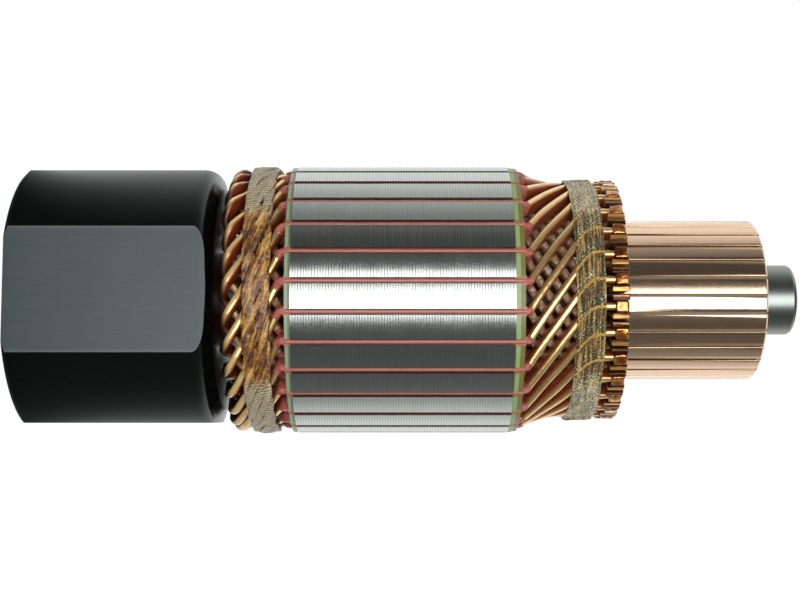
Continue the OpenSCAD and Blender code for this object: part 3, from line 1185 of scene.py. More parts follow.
@dataclass(frozen=True)
class HairpinPath:
    """Centre line of a hairpin coil, with the slot of its outer bar at turn 0."""

    layout: Layout
    bar_w: float = 2.2
    bar_h: float = 4.4
    top_r: float = 36.6
    low_r: float = 31.6
    lead_r: float = 33.15
    lead_low_r: float = 28.5
    straight: float = 0.2
    bend_in: float = 0.08
    bend_out: float = 0.26
    waist: float = 0.85
    flare: float = 1.6
    nose_round: float = 2.2
    exit_turn: float = 4.0
    fade: float = 0.15
    cord_reach: float = 10.6

    @property
    def cord_z0(self) -> float:
        """Height at which the rear cord starts."""
        return self.layout.liner_z0 - self.cord_reach

    @property
    def front_bend(self) -> float:
        """Height at which the front bend starts."""
        return self.layout.liner_z1 + self.straight

    @property
    def rear_bend(self) -> float:
        """Height at which the rear bend starts."""
        return self.layout.liner_z0 - self.straight

    @property
    def lead_bend(self) -> float:
        """Height from which the leads run straight."""
        return lerp(self.layout.tape_z0, self.layout.tape_z1, 0.8)

    @property
    def nose_turn(self) -> float:
        """Turn from a slot to its coil's nose."""
        return 3.5 * self.layout.pitch

    @property
    def nose_span(self) -> float:
        """Turn in which a nose drops to the inner layer."""
        return 1.1 * self.layout.pitch

    @property
    def nose_top(self) -> float:
        """Height of the centre line at the nose."""
        return self.layout.nose_z + self.bar_w / 2

    def lead_turn(self, outer: bool) -> float:
        """Gives the turn from a bar's slot to its riser."""
        return self.layout.lead_turn - (0 if outer else 2 * self.nose_turn)

    def slanted(self, z: float) -> float:
        """Gives the share of a front slant's turn at a height."""
        return even((z - self.front_bend) / (self.lead_bend - self.front_bend), self.bend_in, self.bend_out)

    def front(self, outer: bool, share: float) -> tuple[float, float, float]:
        """Gives a point of the front overhang, as radius, turn and height.

        Args:
            outer: whether the bar lies in the outer layer.
            share: share of the way from the core to the straight leads.

        Returns:
            The radius, the turn from the bar's slot and the height.
        """
        z = lerp(self.front_bend, self.lead_bend, share)
        start, end, power = (self.top_r, self.lead_r, 2.0) if outer else (self.low_r, self.lead_low_r, 3.2)
        fall = (1 - clamp((z - self.front_bend) / (self.layout.tape_z0 - self.front_bend))) ** power
        return lerp(end, start, fall), self.lead_turn(outer) * self.slanted(z), z

    def _arm(self, turn: float) -> float:
        """Gives the rise of a rounded nose at a turn from its crown."""
        return math.hypot(turn, self.nose_round) - self.nose_round

    def slant_z(self, turn: float) -> float:
        """Gives the height of a rear slant at a turn from its nose.

        Args:
            turn: turn from the nose, in degrees.

        Returns:
            The height.
        """
        reach = self._arm(self.nose_turn - self.exit_turn)
        rate = (self.rear_bend - self.nose_top) / (reach + 2 * self.exit_turn * (1 - self.fade))
        arm = self._arm(turn)
        return self.nose_top + rate * arm * (1 + self.fade - self.fade * arm / reach)

    def rear_r(self, z: float, outer: bool) -> float:
        """Gives the radius of a rear bar at a height.

        Args:
            z: the height.
            outer: whether the bar lies in the outer layer.

        Returns:
            The radius.
        """
        if outer:
            drawn = self.waist * smooth((self.rear_bend - z) / 2.4)
            return self.top_r - drawn + self.flare * smooth((self.cord_z0 - 1 - z) / 3)
        return self.low_r - self.waist * smooth((self.rear_bend - z) / 4)

    def rear(self, turn: float) -> tuple[float, float, float]:
        """Gives a point of the rear slant or nose at a turn from the nose.

        Args:
            turn: turn from the nose, above 0 on the outer bar's side.

        Returns:
            The radius, the turn from the outer bar's slot and the height.
        """
        z = self.slant_z(turn)
        drop = smooth(0.5 - turn / self.nose_span)
        return lerp(self.rear_r(z, True), self.rear_r(z, False), drop), turn - self.nose_turn, z

    def exit(self, outer: bool, share: float) -> tuple[float, float, float]:
        """Gives a point of the bend between a slot and a rear slant.

        Args:
            outer: whether the bar lies in the outer layer.
            share: share of the way from the slot to the slant.

        Returns:
            The radius, the turn from the outer bar's slot and the height.
        """
        z = self.rear_bend - share * (self.rear_bend - self.slant_z(self.nose_turn - self.exit_turn))
        turn = self.nose_turn - self.exit_turn * share * share
        return self.rear_r(z, outer), (turn if outer else -turn) - self.nose_turn, z

    def turn_of_rear(self, z: float) -> float:
        """Gives the turn from its slot of an outer rear bar at a height.

        Args:
            z: the height.

        Returns:
            The turn, in degrees.
        """
        low, high = 0.0, self.nose_turn
        for _ in range(HALVINGS):
            middle = (low + high) / 2
            if self.slant_z(middle) < z:
                low = middle
            else:
                high = middle
        return low - self.nose_turn

    @property
    def half_length(self) -> float:
        """Length of the bar from its outer lead to its nose."""
        path = [place(*point) for point in self.points()]
        length = 0.0
        for before, after in zip(path, path[1:]):
            length += (after - before).length
            if after.z <= self.nose_top + 0.01:
                break
        return length

    def points(self) -> list[tuple[float, float, float]]:
        """Gives the whole coil from its outer lead to its inner lead.

        Returns:
            The points, each as radius, turn and height.
        """
        home = 2 * self.nose_turn
        # Places on a front slant, closer together in its two bends
        shares = [0, 0.02, 0.045, 0.07, 0.1, 0.14, 0.19, 0.25, 0.32, 0.4, 0.48, 0.56, 0.64, 0.7,
                  0.75, 0.8, 0.85, 0.9, 0.95, 1.0]
        layout = self.layout
        lead_top, lead_low = self.lead_turn(True), self.lead_turn(False) - home
        reach = self.nose_turn - self.exit_turn
        slant = [lerp(reach, self.nose_span / 2, i / 9) for i in range(10)]
        nose = [self.nose_span / 2 * (1 - i / 8) for i in range(1, 16)]
        exits = [0, 0.16, 0.32, 0.48, 0.64, 0.82]
        path = [(self.lead_r, lead_top, lerp(layout.lead_end, self.lead_bend, s)) for s in (0, 0.5)]
        path += [self.front(True, share) for share in reversed(shares)]
        path += [(self.top_r, 0, lerp(layout.liner_z1, layout.liner_z0, s)) for s in (0, 0.5, 1)]
        path += [self.exit(True, share) for share in exits]
        path += [self.rear(turn) for turn in slant + nose]
        path += [self.rear(-turn) for turn in reversed(slant)]
        path += [self.exit(False, share) for share in reversed(exits)]
        path += [(self.low_r, -home, lerp(layout.liner_z0, layout.liner_z1, s)) for s in (0, 0.5, 1)]
        inner = [self.front(False, share) for share in shares]
        path += [(r, turn - home, z) for r, turn, z in inner]
        path += [(self.lead_low_r, lead_low, lerp(self.lead_bend, layout.lead_end, s)) for s in (0.5, 1)]
        return path


@dataclass
class Winding:
    """The hairpin coils, each bent a little differently by hand."""

    path: HairpinPath
    finish: Finish
    corner: float = 0.9
    sway: float = 0.55
    lift: float = 0.22
    creep: float = 0.35
    rear_tilt: float = 9.0
    seed: int = 5

    def _strayed(
        self, point: tuple[float, float, float], phase: Sequence[float]
    ) -> tuple[float, float, float]:
        """Moves a point of the overhangs a little, and none in a slot or riser.

        Args:
            point: a point, as radius, turn and height.
            phase: three numbers that are drawn for the coil.

        Returns:
            The moved point.
        """
        radius, turn, z = point
        path = self.path
        if z > path.front_bend:
            share = clamp((z - path.front_bend) / (path.layout.tape_z0 - path.front_bend))
            free = math.sin(math.pi * share) ** 2 if share < 1 else 0.0
        else:
            free = smooth((path.rear_bend - z) / 9)
        wave = math.sin(z * 0.35 + phase[0]) * 0.6 + phase[1]
        crept = 0.0 if z > path.front_bend else self.creep * free * phase[1]
        return radius + self.lift * free * phase[2], turn + self.sway * free * wave, z - crept

    def _tilt(self, point: tuple[float, float, float]) -> float:
        """Gives how far the section is twisted at a point of the outer rear slant.

        Args:
            point: a point, as radius, turn and height.

        Returns:
            The twist, in degrees.
        """
        path = self.path
        _, turn, z = point
        if z > path.rear_bend:
            return 0.0
        outer = smooth((turn + path.nose_turn) / path.nose_span + 0.5)
        return self.rear_tilt * outer * smooth((path.cord_z0 + 5 - z) / 6)

    def coil(self, index: int, dice: random.Random) -> bmesh.types.BMesh:
        """Builds one coil.

        Args:
            index: the coil's number, from 0.
            dice: draws how the coil strays.

        Returns:
            The coil.
        """
        start = self.path.layout.slot_at(index)
        phase = (dice.uniform(0, 6), dice.uniform(-0.8, 0.8), dice.uniform(-1, 1))
        bare = self.path.points()
        strayed = [self._strayed(point, phase) for point in bare]
        points = [place(radius, turn + start, z) for radius, turn, z in strayed]
        section = Section(self.path.bar_w, self.path.bar_h, self.corner)
        return sweep(section, stations(points, radial, None, [self._tilt(point) for point in bare]))

    def build(self) -> None:
        """Builds all coils as one piece."""
        dice = random.Random(self.seed)
        count = self.path.layout.slots
        coils = gather(self.coil(index, dice) for index in range(count))
        show("winding_bars", coils, self.finish, [f"coil_{k + 1:02d}" for k in range(count)], 50)


@dataclass
class SlotSleeves:
    """Insulation that shows in the slot mouths and round the bars at the core's ends."""

    path: HairpinPath
    finish: Finish
    mouth: float = 1.12
    depth: float = 1.0
    crown_r: float = 39.55
    strip_steps: int = 26
    cover: float = 0.08
    front_reach: float = 1.5
    rear_reach: float = 2.3
    rear_sheet: float = 1.5
    clear: float = 0.05
    steps: int = 12
    wrinkle: float = 0.13
    seed: int = 11

    def strip(self, turn: float) -> bmesh.types.BMesh:
        """Builds the strip that closes one slot.

        Args:
            turn: the slot's turn.

        Returns:
            The strip.
        """
        layout = self.path.layout
        low, high = layout.liner_z0 + 0.2, layout.liner_z1 - 0.1
        points = []
        for i in range(self.strip_steps + 1):
            z = lerp(low, high, i / self.strip_steps)
            wave = noise.noise(Vector((z * 0.25, turn, 0.3)))
            points.append(place(self.crown_r - self.depth / 2 + 0.05 * wave, turn + 0.08 * wave, z))
        return sweep(Section(self.mouth, self.depth, 0.42), stations(points, radial))

    def _leaving(self, outer: bool, front: bool, gone: float) -> tuple[float, float, float]:
        """Gives a point of a bar near the core.

        Args:
            outer: whether the bar lies in the outer layer.
            front: whether it leaves the core at the commutator end.
            gone: distance from the end sheet along the shaft.

        Returns:
            The radius, the turn from the bar's slot and the height.
        """
        path = self.path
        layout = path.layout
        slot_r = path.top_r if outer else path.low_r
        if front:
            z = layout.front_z + gone + self.clear
            share = (z - path.front_bend) / (path.lead_bend - path.front_bend)
            return path.front(outer, share) if share > 0 else (slot_r, 0.0, z)
        z = layout.core_z0 - self.rear_sheet - gone - self.clear
        share = (path.rear_bend - z) / (path.rear_bend - path.slant_z(path.nose_turn - path.exit_turn))
        if share <= 0:
            return slot_r, 0.0, z
        if share < 1:
            radius, turn, z = path.exit(outer, share)
            return radius, turn if outer else turn + 2 * path.nose_turn, z
        turn = path.turn_of_rear(z)
        return path.rear_r(z, outer), turn if outer else -turn, z

    def sleeve(self, turn: float, outer: bool, front: bool, dice: random.Random) -> bmesh.types.BMesh:
        """Builds the wrinkled sleeve on one bar where it leaves the core.

        Args:
            turn: the slot's turn.
            outer: whether the bar lies in the outer layer.
            front: whether it is at the commutator end.
            dice: draws its length and creases.

        Returns:
            The sleeve.
        """
        path = self.path
        count = self.steps
        reach = (self.front_reach if front else self.rear_reach) * dice.uniform(0.85, 1.15)
        made = [self._leaving(outer, front, reach * i / count) for i in range(count + 1)]
        phase = dice.uniform(0, 6)
        scales = []
        for i in range(count + 1):
            crease = 0.35 * math.sin(i * 1.9 + phase) * smooth(i / 3)
            end = 0.7 * smooth((i - count + 3.5) / 3.5)
            grow = 1 + crease - end
            cover = 2 * self.cover * grow
            scales.append((1 + cover / path.bar_w * 0.9, 1 + cover / path.bar_h))
        points = [place(r, t + turn, z) for r, t, z in made]
        section = Section(path.bar_w, path.bar_h, 0.85)
        shape = sweep(section, stations(points, radial, scales))
        for vert in shape.verts:
            vert.co += noise.noise_vector(vert.co * 1.1) * self.wrinkle
        return shape

    def build(self) -> None:
        """Builds the strips and the sleeves of all slots."""
        dice = random.Random(self.seed)
        layout = self.path.layout
        parts = []
        for index in range(layout.slots):
            turn = layout.slot_at(index)
            parts.append(self.strip(turn))
            for outer in (True, False):
                parts += [self.sleeve(turn, outer, front, dice) for front in (True, False)]
        show("slot_sleeves", gather(parts), self.finish, (), 60)


@dataclass
class LaminatedCore:
    """The core, as a stack of punched sheets with a fine groove at each joint."""

    layout: Layout
    finish: Finish
    sheet: float = 0.765
    joint: float = 0.12
    joint_depth: float = 0.04
    stray: float = 0.035
    shrink: float = 0.0004
    bore_r: float = 14.0
    mouth: float = 1.8
    slot_w: float = 2.8
    slot_top: float = 39.1
    slot_bottom: float = 29.1
    seed: int = 3

    def outline(self, mesh: bmesh.types.BMesh, z: float) -> list[bmesh.types.BMEdge]:
        """Draws the sheet's outline at a height and gives its edges.

        Args:
            mesh: the shape that it is drawn in.
            z: the height.

        Returns:
            The outline's edges.
        """
        layout = self.layout
        edge_turn = math.degrees(math.asin(self.mouth / 2 / layout.core_r))
        arc = [place(layout.core_r, t, z) for t in (
            layout.pitch / 2, lerp(layout.pitch / 2, edge_turn, 0.5), edge_turn)]
        half = arc + [
            Vector((-wide / 2, -radius, z)) for wide, radius in (
                (self.mouth, self.slot_top), (self.slot_w, self.slot_top), (self.slot_w, self.slot_bottom))]
        whole = half + [Vector((-p.x, p.y, z)) for p in reversed(half)]
        verts = [mesh.verts.new(point) for point in whole]
        for first, second in zip(verts, verts[1:]):
            mesh.edges.new((first, second))
        bmesh.ops.rotate(mesh, cent=(0, 0, 0), matrix=turned(layout.slot_turn).to_3x3(), verts=mesh.verts[:])
        repeated(mesh, layout.slots)
        bmesh.ops.remove_doubles(mesh, verts=mesh.verts[:], dist=0.001)
        return mesh.edges[:]

    def _stack(
        self, mesh: bmesh.types.BMesh, ring: list[bmesh.types.BMEdge], dice: random.Random
    ) -> list[bmesh.types.BMEdge]:
        """Extrudes the outline from joint to joint.

        Args:
            mesh: the shape.
            ring: the outline's edges at the drive side.
            dice: draws how far each sheet is turned and how much smaller it is.

        Returns:
            The outline's edges at the commutator side.
        """
        layout = self.layout
        count = round((layout.core_z1 - layout.core_z0) / self.sheet)
        sheet = (layout.core_z1 - layout.core_z0) / count
        z, turn, grow = layout.core_z0, 0.0, 1.0
        for index in range(count):
            top = layout.core_z0 + (index + 1) * sheet
            last = index == count - 1
            new_turn, new_grow = dice.uniform(-self.stray, self.stray), 1 - dice.uniform(0, self.shrink)
            steps = [(top if last else top - self.joint, turn, grow)]
            if not last:
                sunk = 1 - self.joint_depth / layout.core_r
                steps.append((top - self.joint / 2, (turn + new_turn) / 2, sunk))
                steps.append((top, new_turn, new_grow))
            for new_z, step_turn, step_grow in steps:
                grown = bmesh.ops.extrude_edge_only(mesh, edges=ring)["geom"]
                ring = of_kind(grown, bmesh.types.BMEdge)
                scale = step_grow / grow
                change = Matrix.Diagonal((scale, scale, 1, 1)) @ turned(step_turn - turn)
                bmesh.ops.transform(
                    mesh, matrix=Matrix.Translation((0, 0, new_z - z)) @ change,
                    verts=of_kind(grown, bmesh.types.BMVert))
                z, turn, grow = new_z, step_turn, step_grow
        return ring

    def _bore(self, mesh: bmesh.types.BMesh) -> tuple[list[bmesh.types.BMEdge], list[bmesh.types.BMEdge]]:
        """Adds the wall of the bore and gives its edges at both ends.

        Args:
            mesh: the core's shape.

        Returns:
            The edges at the drive side and those at the commutator side.
        """
        layout = self.layout
        bore = bmesh.ops.create_circle(
            mesh, cap_ends=False, radius=self.bore_r, segments=96,
            matrix=Matrix.Translation((0, 0, layout.core_z0)))["verts"]
        low = list({edge for vert in bore for edge in vert.link_edges})
        grown = bmesh.ops.extrude_edge_only(mesh, edges=low)["geom"]
        high = [edge for edge in of_kind(grown, bmesh.types.BMEdge) if all(v in grown for v in edge.verts)]
        bmesh.ops.translate(
            mesh, vec=(0, 0, layout.core_z1 - layout.core_z0), verts=of_kind(grown, bmesh.types.BMVert))
        return low, high

    def build(self) -> None:
        """Builds the stack and its bore, and closes both ends."""
        mesh = bmesh.new()
        first = self.outline(mesh, self.layout.core_z0)
        last = self._stack(mesh, first, random.Random(self.seed))
        low, high = self._bore(mesh)
        for loop in (first + low, last + high):
            bmesh.ops.triangle_fill(mesh, edges=loop, use_beauty=True)
        show("core_sheets", mesh, self.finish, ["lamination_stack"], 12)


@dataclass
class CordBinding:
    """Glass cord round the rear overhang: strands that cross from edge to edge as they go round."""

    path: HairpinPath
    finish: Finish
    bed_r: float = 37.97
    half_width: float = 2.75
    half_thick: float = 0.42
    strand_w: float = 2.5
    strand_h: float = 1.55
    strands: int = 6
    twists: int = 6
    sink: float = 0.5
    step: float = 0.55
    middle: float = 2.925
    uneven: float = 0.55
    sway: float = 0.25
    lumps: float = 0.16

    def centre(self, turn: float, z: float) -> float:
        """Gives the radius on which the cord lies at a turn and height.

        Args:
            turn: the turn, in degrees.
            z: the height.

        Returns:
            The radius.
        """
        layout = self.path.layout
        bar = (turn - layout.slot_turn - self.path.turn_of_rear(z)) / layout.pitch
        over = 0.5 + 0.5 * math.cos(2 * math.pi * bar)
        return self.bed_r + self.strand_h / 2 + self.half_thick - 0.1 - self.sink * (1 - over)

    def strand(self, index: int) -> bmesh.types.BMesh:
        """Builds one strand, closed round the shaft.

        Args:
            index: the strand's number, from 0.

        Returns:
            The strand.
        """
        length = 2 * math.pi * (self.bed_r + 1)
        count = round(length / self.step)
        points = []
        for i in range(count + 1):
            turn = 360 * i / count
            ring = place(1.3, turn, 0)
            wrap = 2 * math.pi * (self.twists * i / count + index / self.strands)
            wrap += self.uneven * noise.noise(ring * 2.2 + Vector((0, 0, index * 3.1)))
            sway = self.sway * noise.noise(ring * 3 + Vector((0, 0, 40.0)))
            z = self.path.cord_z0 + self.middle + sway + self.half_width * math.sin(wrap)
            points.append(place(self.centre(turn, z) + self.half_thick * math.cos(wrap), turn, z))
        shape = sweep(Section(self.strand_w, self.strand_h, 0.66), stations(points, radial))
        for vert in shape.verts:
            vert.co += radial(vert.co) * self.lumps * noise.noise(vert.co * 0.9)
        return shape

    def build(self) -> None:
        """Builds the cord from its strands."""
        cord = gather(self.strand(index) for index in range(self.strands))
        show("rear_cord", cord, self.finish, ["binding_rear"], 80)


@dataclass
class TapeBinding:
    """Glass tape over the front overhang, raised where a bar lies under it."""

    path: HairpinPath
    finish: Finish
    inner_r: float = 35.39
    thick: float = 0.72
    ridge: float = 0.5
    ridge_half: float = 2.0
    line_half: float = 0.85
    edge_drop: float = 0.3
    crooked: float = 0.28
    rows: int = 24
    per_pitch: int = 24

    def _hoop(self) -> bmesh.types.BMesh:
        """Spins the tape's section round the shaft.

        Returns:
            The hoop.
        """
        layout = self.path.layout
        mesh = bmesh.new()
        heights = [lerp(layout.tape_z0, layout.tape_z1, i / self.rows) for i in range(self.rows + 1)]
        outer = [mesh.verts.new((0, -self.inner_r - self.thick, z)) for z in heights]
        inner = [mesh.verts.new((0, -self.inner_r, z)) for z in reversed(heights[:: self.rows // 2])]
        loop = outer + inner
        edges = [mesh.edges.new((a, b)) for a, b in zip(loop, loop[1:] + loop[:1])]
        bmesh.ops.spin(
            mesh, geom=loop + edges, cent=(0, 0, 0), axis=(0, 0, 1), angle=2 * math.pi,
            steps=layout.slots * self.per_pitch, use_merge=True)
        bmesh.ops.remove_doubles(mesh, verts=mesh.verts[:], dist=0.0005)
        return mesh

    def build(self) -> None:
        """Presses the hoop over the bars, with its edges drawn in and a little crooked."""
        layout = self.path.layout
        mesh = self._hoop()
        crest, below = (mesh.verts.layers.float.new(name) for name in ("crest", "below"))
        for vert in mesh.verts:
            turn = math.degrees(math.atan2(-vert.co.x, -vert.co.y))
            z = vert.co.z
            radius = math.hypot(vert.co.x, vert.co.y)
            sway = 0.9 * noise.noise(Vector((turn * 0.05, 0, 2.2)))
            bar = (turn - layout.slot_turn - layout.lead_turn * self.path.slanted(z)) / layout.pitch
            off = abs((bar + 0.5) % 1 - 0.5) * layout.pitch * math.radians(1) * radius
            over = 1 - smooth(off / self.ridge_half)
            line = 1 - smooth(off / self.line_half)
            # crest later sets the painted highlight along the ridge over each bar.
            vert[crest] = line
            vert[below] = 0.5 - 0.5 * math.sin(2 * math.pi * bar)
            if radius < self.inner_r + 0.1:
                continue
            share = (z - layout.tape_z0) / (layout.tape_z1 - layout.tape_z0)
            edge = 1 - smooth(min(share, 1 - share) * 9)
            rise = self.ridge * (over * 0.6 + line * 0.5 - 0.55) - self.edge_drop * edge + 0.07 * sway
            rise += 0.1 * noise.noise(vert.co * 0.55)
            edge_sway = self.crooked * noise.noise(Vector((turn * 0.08, share * 2, 9.0)))
            scale = (radius + rise) / radius
            vert.co = Vector((vert.co.x * scale, vert.co.y * scale, z + edge_sway * edge))
        show("front_tape", mesh, self.finish, ["binding_front"], 60)


@dataclass
class RiserJoints:
    """Rounded lumps of solder and varnish in the slots of the risers."""

    layout: Layout
    finish: Finish
    width: float = 3.5
    depth: float = 9.0
    out_r: float = 35.95
    inset: float = 0.75
    short: float = 0.15
    rounding: float = 0.7
    uneven: float = 0.35
    seed: int = 8

    def lump(self, index: int, dice: random.Random) -> bmesh.types.BMesh:
        """Builds the lump of one riser.

        Args:
            index: the riser's number, from 0.
            dice: draws how far the lump stands out.

        Returns:
            The lump.
        """
        mesh = bmesh.new()
        bmesh.ops.create_cube(mesh, size=1.0)
        low = self.layout.riser_z + self.inset
        high = self.layout.track_z - self.short
        out = self.out_r + dice.uniform(-0.15, 0.2)
        bmesh.ops.scale(mesh, vec=(self.width, self.depth, high - low), verts=mesh.verts[:])
        bmesh.ops.bevel(
            mesh, geom=mesh.edges[:], affect="EDGES", offset=self.rounding, segments=4, profile=0.5,
            material=-1)
        bmesh.ops.subdivide_edges(mesh, edges=mesh.edges[:], cuts=1, use_grid_fill=True)
        centre = Vector((0, -(out - self.depth / 2), (low + high) / 2))
        bmesh.ops.translate(mesh, vec=centre, verts=mesh.verts[:])
        shift = Vector((index * 3.7, 0, 0))
        # edge is 0 on the lump's outer face and 1 down its sides, where the finish paints shade.
        edge = mesh.verts.layers.float.new("edge")
        for vert in mesh.verts:
            vert[edge] = smooth((vert.co.y + out - 0.1) / 0.5)
            if vert.co.y < -out + 2:
                vert.co.y += self.uneven * noise.noise(vert.co * 0.55 + shift)
        turn = self.layout.slot_at(index) + self.layout.lead_turn
        bmesh.ops.rotate(mesh, cent=(0, 0, 0), matrix=turned(turn).to_3x3(), verts=mesh.verts[:])
        return mesh

    def build(self) -> None:
        """Builds the lumps of all risers."""
        dice = random.Random(self.seed)
        lumps = gather(self.lump(index, dice) for index in range(self.layout.slots))
        show("riser_lumps", lumps, self.finish, ["riser_joints"], 60)


@dataclass
class TurnedParts:
    """Machined parts whose CAD shape is right, with their edges broken."""

    nodes: dict[str, bpy.types.Object]

    def broken(self, node: str, name: str, finish: Finish, width: float, angle: float = 25.0) -> None:
        """Shows a merged copy of a CAD node with bevelled edges.

        Args:
            node: the CAD node.
            name: the piece's name.
            finish: its finish.
            width: width of the bevels.
            angle: the angle in degrees from which an edge is bevelled.
        """
        mesh = bmesh.new()
        mesh.from_mesh(self.nodes[node].data)
        bmesh.ops.scale(mesh, vec=(1 / MM,) * 3, verts=mesh.verts[:])
        bmesh.ops.remove_doubles(mesh, verts=mesh.verts[:], dist=0.002)
        bmesh.ops.dissolve_limit(
            mesh, angle_limit=math.radians(0.6), verts=mesh.verts[:], edges=mesh.edges[:])
        sharp = [edge for edge in mesh.edges
                 if len(edge.link_faces) == 2 and edge.calc_face_angle(0) > math.radians(angle)]
        bmesh.ops.bevel(
            mesh, geom=sharp, affect="EDGES", offset=width, segments=2, profile=0.5, material=-1,
            clamp_overlap=True)
        show(name, mesh, finish, [node], 28)

    def finished(self, node: str, finish: Finish) -> None:
        """Gives a CAD node its finish.

        Args:
            node: the CAD node.
            finish: its finish.
        """
        data = self.nodes[node].data
        data.materials.clear()
        data.materials.append(finish.material())
        LOG.info("%s: CAD node, finish %s", node, finish.slot.value)


# ------------------------------------------------------------------ studio


@dataclass(frozen=True)
class Studio:
    """Camera, lamp, sky and floor."""

    view_turn: float = -5.0
    middle: float = 109.8
    distance: float = 391.7
    lens: float = 58.1
    sensor: float = 36.0
    key_wide: float = 0.5
    key_high: float = 0.25
    key_distance: float = 420.0
    key_middle: float = 215.0
    key_turn: float = 1.0
    key_energy: float = 1.7
    floor_r: float = 6.0
    floor_glow: float = 0.97
    stops: tuple[tuple[float, float], ...] = (
        (-180, 1.0), (-122, 1.0), (-108, 0.6), (-94, 0.3), (-72, 0.14), (-45, 0.1), (-20, 0.07),
        (38, 0.065), (58, 0.08), (70, 0.2), (84, 0.38), (99, 0.7), (112, 1.0), (180, 1.0))

    @property
    def back(self) -> Vector:
        """Direction from the shaft to the camera."""
        return place(1, self.view_turn, 0)

    @property
    def up(self) -> Vector:
        """Direction that is up in the picture."""
        return self.back.cross(Vector((0, 0, 1)))

    def _stand(self, back: Vector, distance: float, height: float) -> Matrix:
        """Gives the place of a camera or lamp that faces the shaft.

        Args:
            back: direction from the shaft to it.
            distance: its distance from the shaft.
            height: its height along the shaft.

        Returns:
            The matrix.
        """
        right = Vector((0, 0, 1))
        turn = Matrix((right, back.cross(right), back)).transposed().to_4x4()
        return Matrix.Translation(back * distance * MM + Vector((0, 0, height * MM))) @ turn

    def camera(self) -> None:
        """Puts the camera beside the armature, turned so that +Z runs right."""
        data = bpy.data.cameras.new("camera")
        data.lens = self.lens
        data.sensor_width = self.sensor
        data.clip_start = 0.01
        eye = linked("camera", data)
        eye.matrix_world = self._stand(self.back, self.distance, self.middle)
        bpy.context.scene.camera = eye

    def lamp(self) -> None:
        """Puts one long soft lamp behind the camera."""
        data = bpy.data.lights.new("key", "AREA")
        data.shape = "RECTANGLE"
        data.size = self.key_wide
        data.size_y = self.key_high
        data.energy = self.key_energy
        light = linked("key", data)
        towards = place(1, self.view_turn - self.key_turn, 0)
        light.matrix_world = self._stand(towards, self.key_distance, self.key_middle)
        light.visible_camera = False

    def tone(self, graph: Graph, direction: bpy.types.NodeSocket) -> bpy.types.NodeSocket:
        """Gives the room's tone in a direction from the shaft: dark in front and white behind.

        Args:
            graph: the node tree.
            direction: the direction.

        Returns:
            The tone, as a colour.
        """

        def reach(other: Vector) -> Value:
            """Gives how far the direction reaches along another."""
            node = graph.node("ShaderNodeVectorMath", {"operation": "DOT_PRODUCT"}, {0: direction, 1: other})
            return graph.number(node.outputs["Value"])

        angle = reach(self.up).apply("ARCTAN2", reach(self.back)) * (0.5 / math.pi) + 0.5
        return graph.ramp(angle, [((a + 180) / 360, (v, v, v)) for a, v in self.stops])

    def sky(self) -> None:
        """Makes the room, and shows it white to the camera."""
        world = bpy.data.worlds.new("room")
        bpy.context.scene.world = world
        world.use_nodes = True
        graph = Graph(world.node_tree)
        coords = graph.node("ShaderNodeTexCoord").outputs["Generated"]
        seen = graph.node("ShaderNodeLightPath").outputs["Is Camera Ray"]
        room = graph.shader("ShaderNodeBackground", Color=self.tone(graph, coords))
        white = graph.shader("ShaderNodeBackground", Color=(1, 1, 1))
        graph.end(graph.blend(seen, room, white), "ShaderNodeOutputWorld")

    def floor(self) -> None:
        """Lays a plain white floor under the hub, which mirrors as the room does."""
        mesh = bmesh.new()
        bmesh.ops.create_circle(mesh, cap_ends=True, radius=self.floor_r, segments=64)
        material = bpy.data.materials.new("floor_white")
        material.use_nodes = True
        graph = Graph(material.node_tree)
        rays = graph.node("ShaderNodeLightPath").outputs
        mirrored = graph.number(rays["Is Glossy Ray"]).apply("MAXIMUM", rays["Is Transmission Ray"])
        matt = graph.shader("ShaderNodeBsdfDiffuse", Color=(0.8, 0.8, 0.8))
        room = graph.shader("ShaderNodeEmission", Color=self.tone(graph, graph.point()))
        glow = graph.shader("ShaderNodeEmission", Color=(1, 1, 1), Strength=self.floor_glow)
        faint = graph.shader("ShaderNodeBsdfDiffuse", Color=(0.12, 0.12, 0.12))
        white = graph.node("ShaderNodeAddShader", None, {0: glow, 1: faint}).outputs[0]
        graph.end(graph.blend(rays["Is Camera Ray"], graph.blend(mirrored, matt, room), white))
        data = settled("floor", mesh)
        data.materials.append(material)
        linked("floor", data)

    def build(self) -> None:
        """Builds the studio."""
        bpy.context.scene.view_settings.view_transform = "Standard"
        self.camera()
        self.lamp()
        self.sky()
        self.floor()


# ------------------------------------------------------------------ assembly


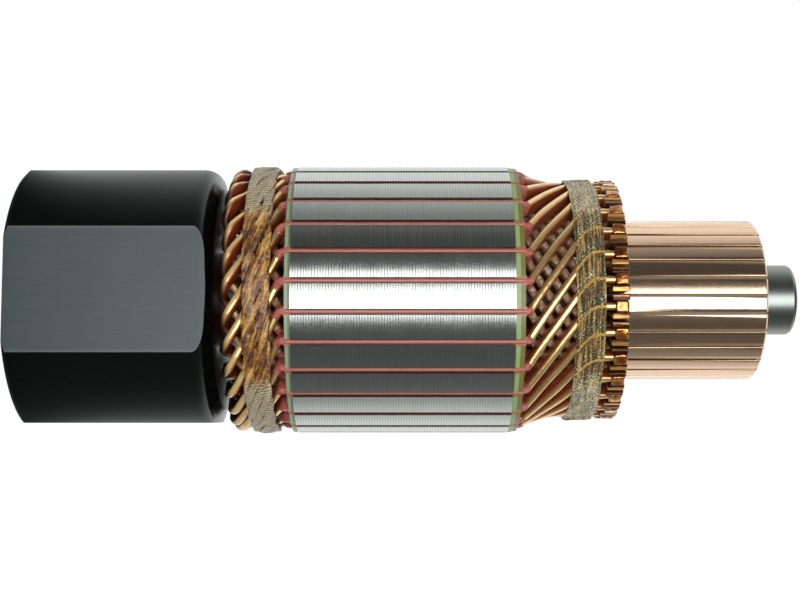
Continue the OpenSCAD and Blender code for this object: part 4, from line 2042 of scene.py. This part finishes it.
def main() -> None:
    """Builds the armature round its frame, in order."""
    logging.basicConfig(level=logging.INFO, format="%(message)s")
    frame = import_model()
    nodes = frame["nodes"]
    layout = Layout.from_frame()
    path = HairpinPath(layout)

    Studio().build()
    copper = VarnishedCopper(Slot.CONDUCTOR, inner_from=path.half_length, nose_z=layout.nose_z)
    Winding(path, copper).build()
    liner = VarnishedPaper(Slot.LINER, low=layout.core_z0 + 0.2, high=layout.core_z1 - 0.2)
    SlotSleeves(path, liner).build()
    LaminatedCore(layout, CoreSteel(Slot.CORE_STEEL, start=layout.core_z0)).build()
    CordBinding(path, GlassCord(Slot.GLASS_CORD)).build()
    TapeBinding(path, GlassTape(Slot.GLASS_TAPE)).build()
    RiserJoints(layout, AmberVarnish(Slot.RISER_SOLDER)).build()

    parts = TurnedParts(nodes)
    first_bar = layout.slot_turn + layout.lead_turn
    track = TrackCopper(Slot.TRACK_COPPER, first_turn=first_bar, track_z=layout.track_z)
    parts.broken("commutator_bars", "track_bars", track, 0.12)
    parts.broken("drive_hub", "hub_body", HubBlack(Slot.HUB_BLACK), 0.3, 12.0)

    green = LaminatedSheet(Slot.END_SHEET, (0.33, 0.46, 0.16), dark_z=layout.core_z0 - 0.5)
    turned_steel = PlainSolid(Slot.BUSH_STEEL, (0.45, 0.45, 0.46), 0.32, 1.0)
    finishes = {
        "shaft": GroundSteel(Slot.GROUND_STEEL, varnish_z0=layout.hub_z1, varnish_z1=layout.riser_z + 3),
        "end_plate_rear": green,
        "end_plate_front": green,
        "end_spacer_front": LaminatedSheet(Slot.BACKING_SHEET, (0.21, 0.2, 0.055)),
        "slot_liners": liner,
        "slot_separators": PlainSolid(Slot.SEPARATOR, (0.4, 0.3, 0.15)),
        "commutator_mica": PlainSolid(Slot.MICA, (0.2, 0.15, 0.09)),
        "commutator_body": PlainSolid(Slot.MOULDING, (0.05, 0.025, 0.014), 0.35),
        "commutator_bush": turned_steel,
        "commutator_ring_inner": turned_steel,
        "commutator_ring_outer": turned_steel,
    }
    for node, finish in finishes.items():
        parts.finished(node, finish)


if __name__ == "__main__":
    main()
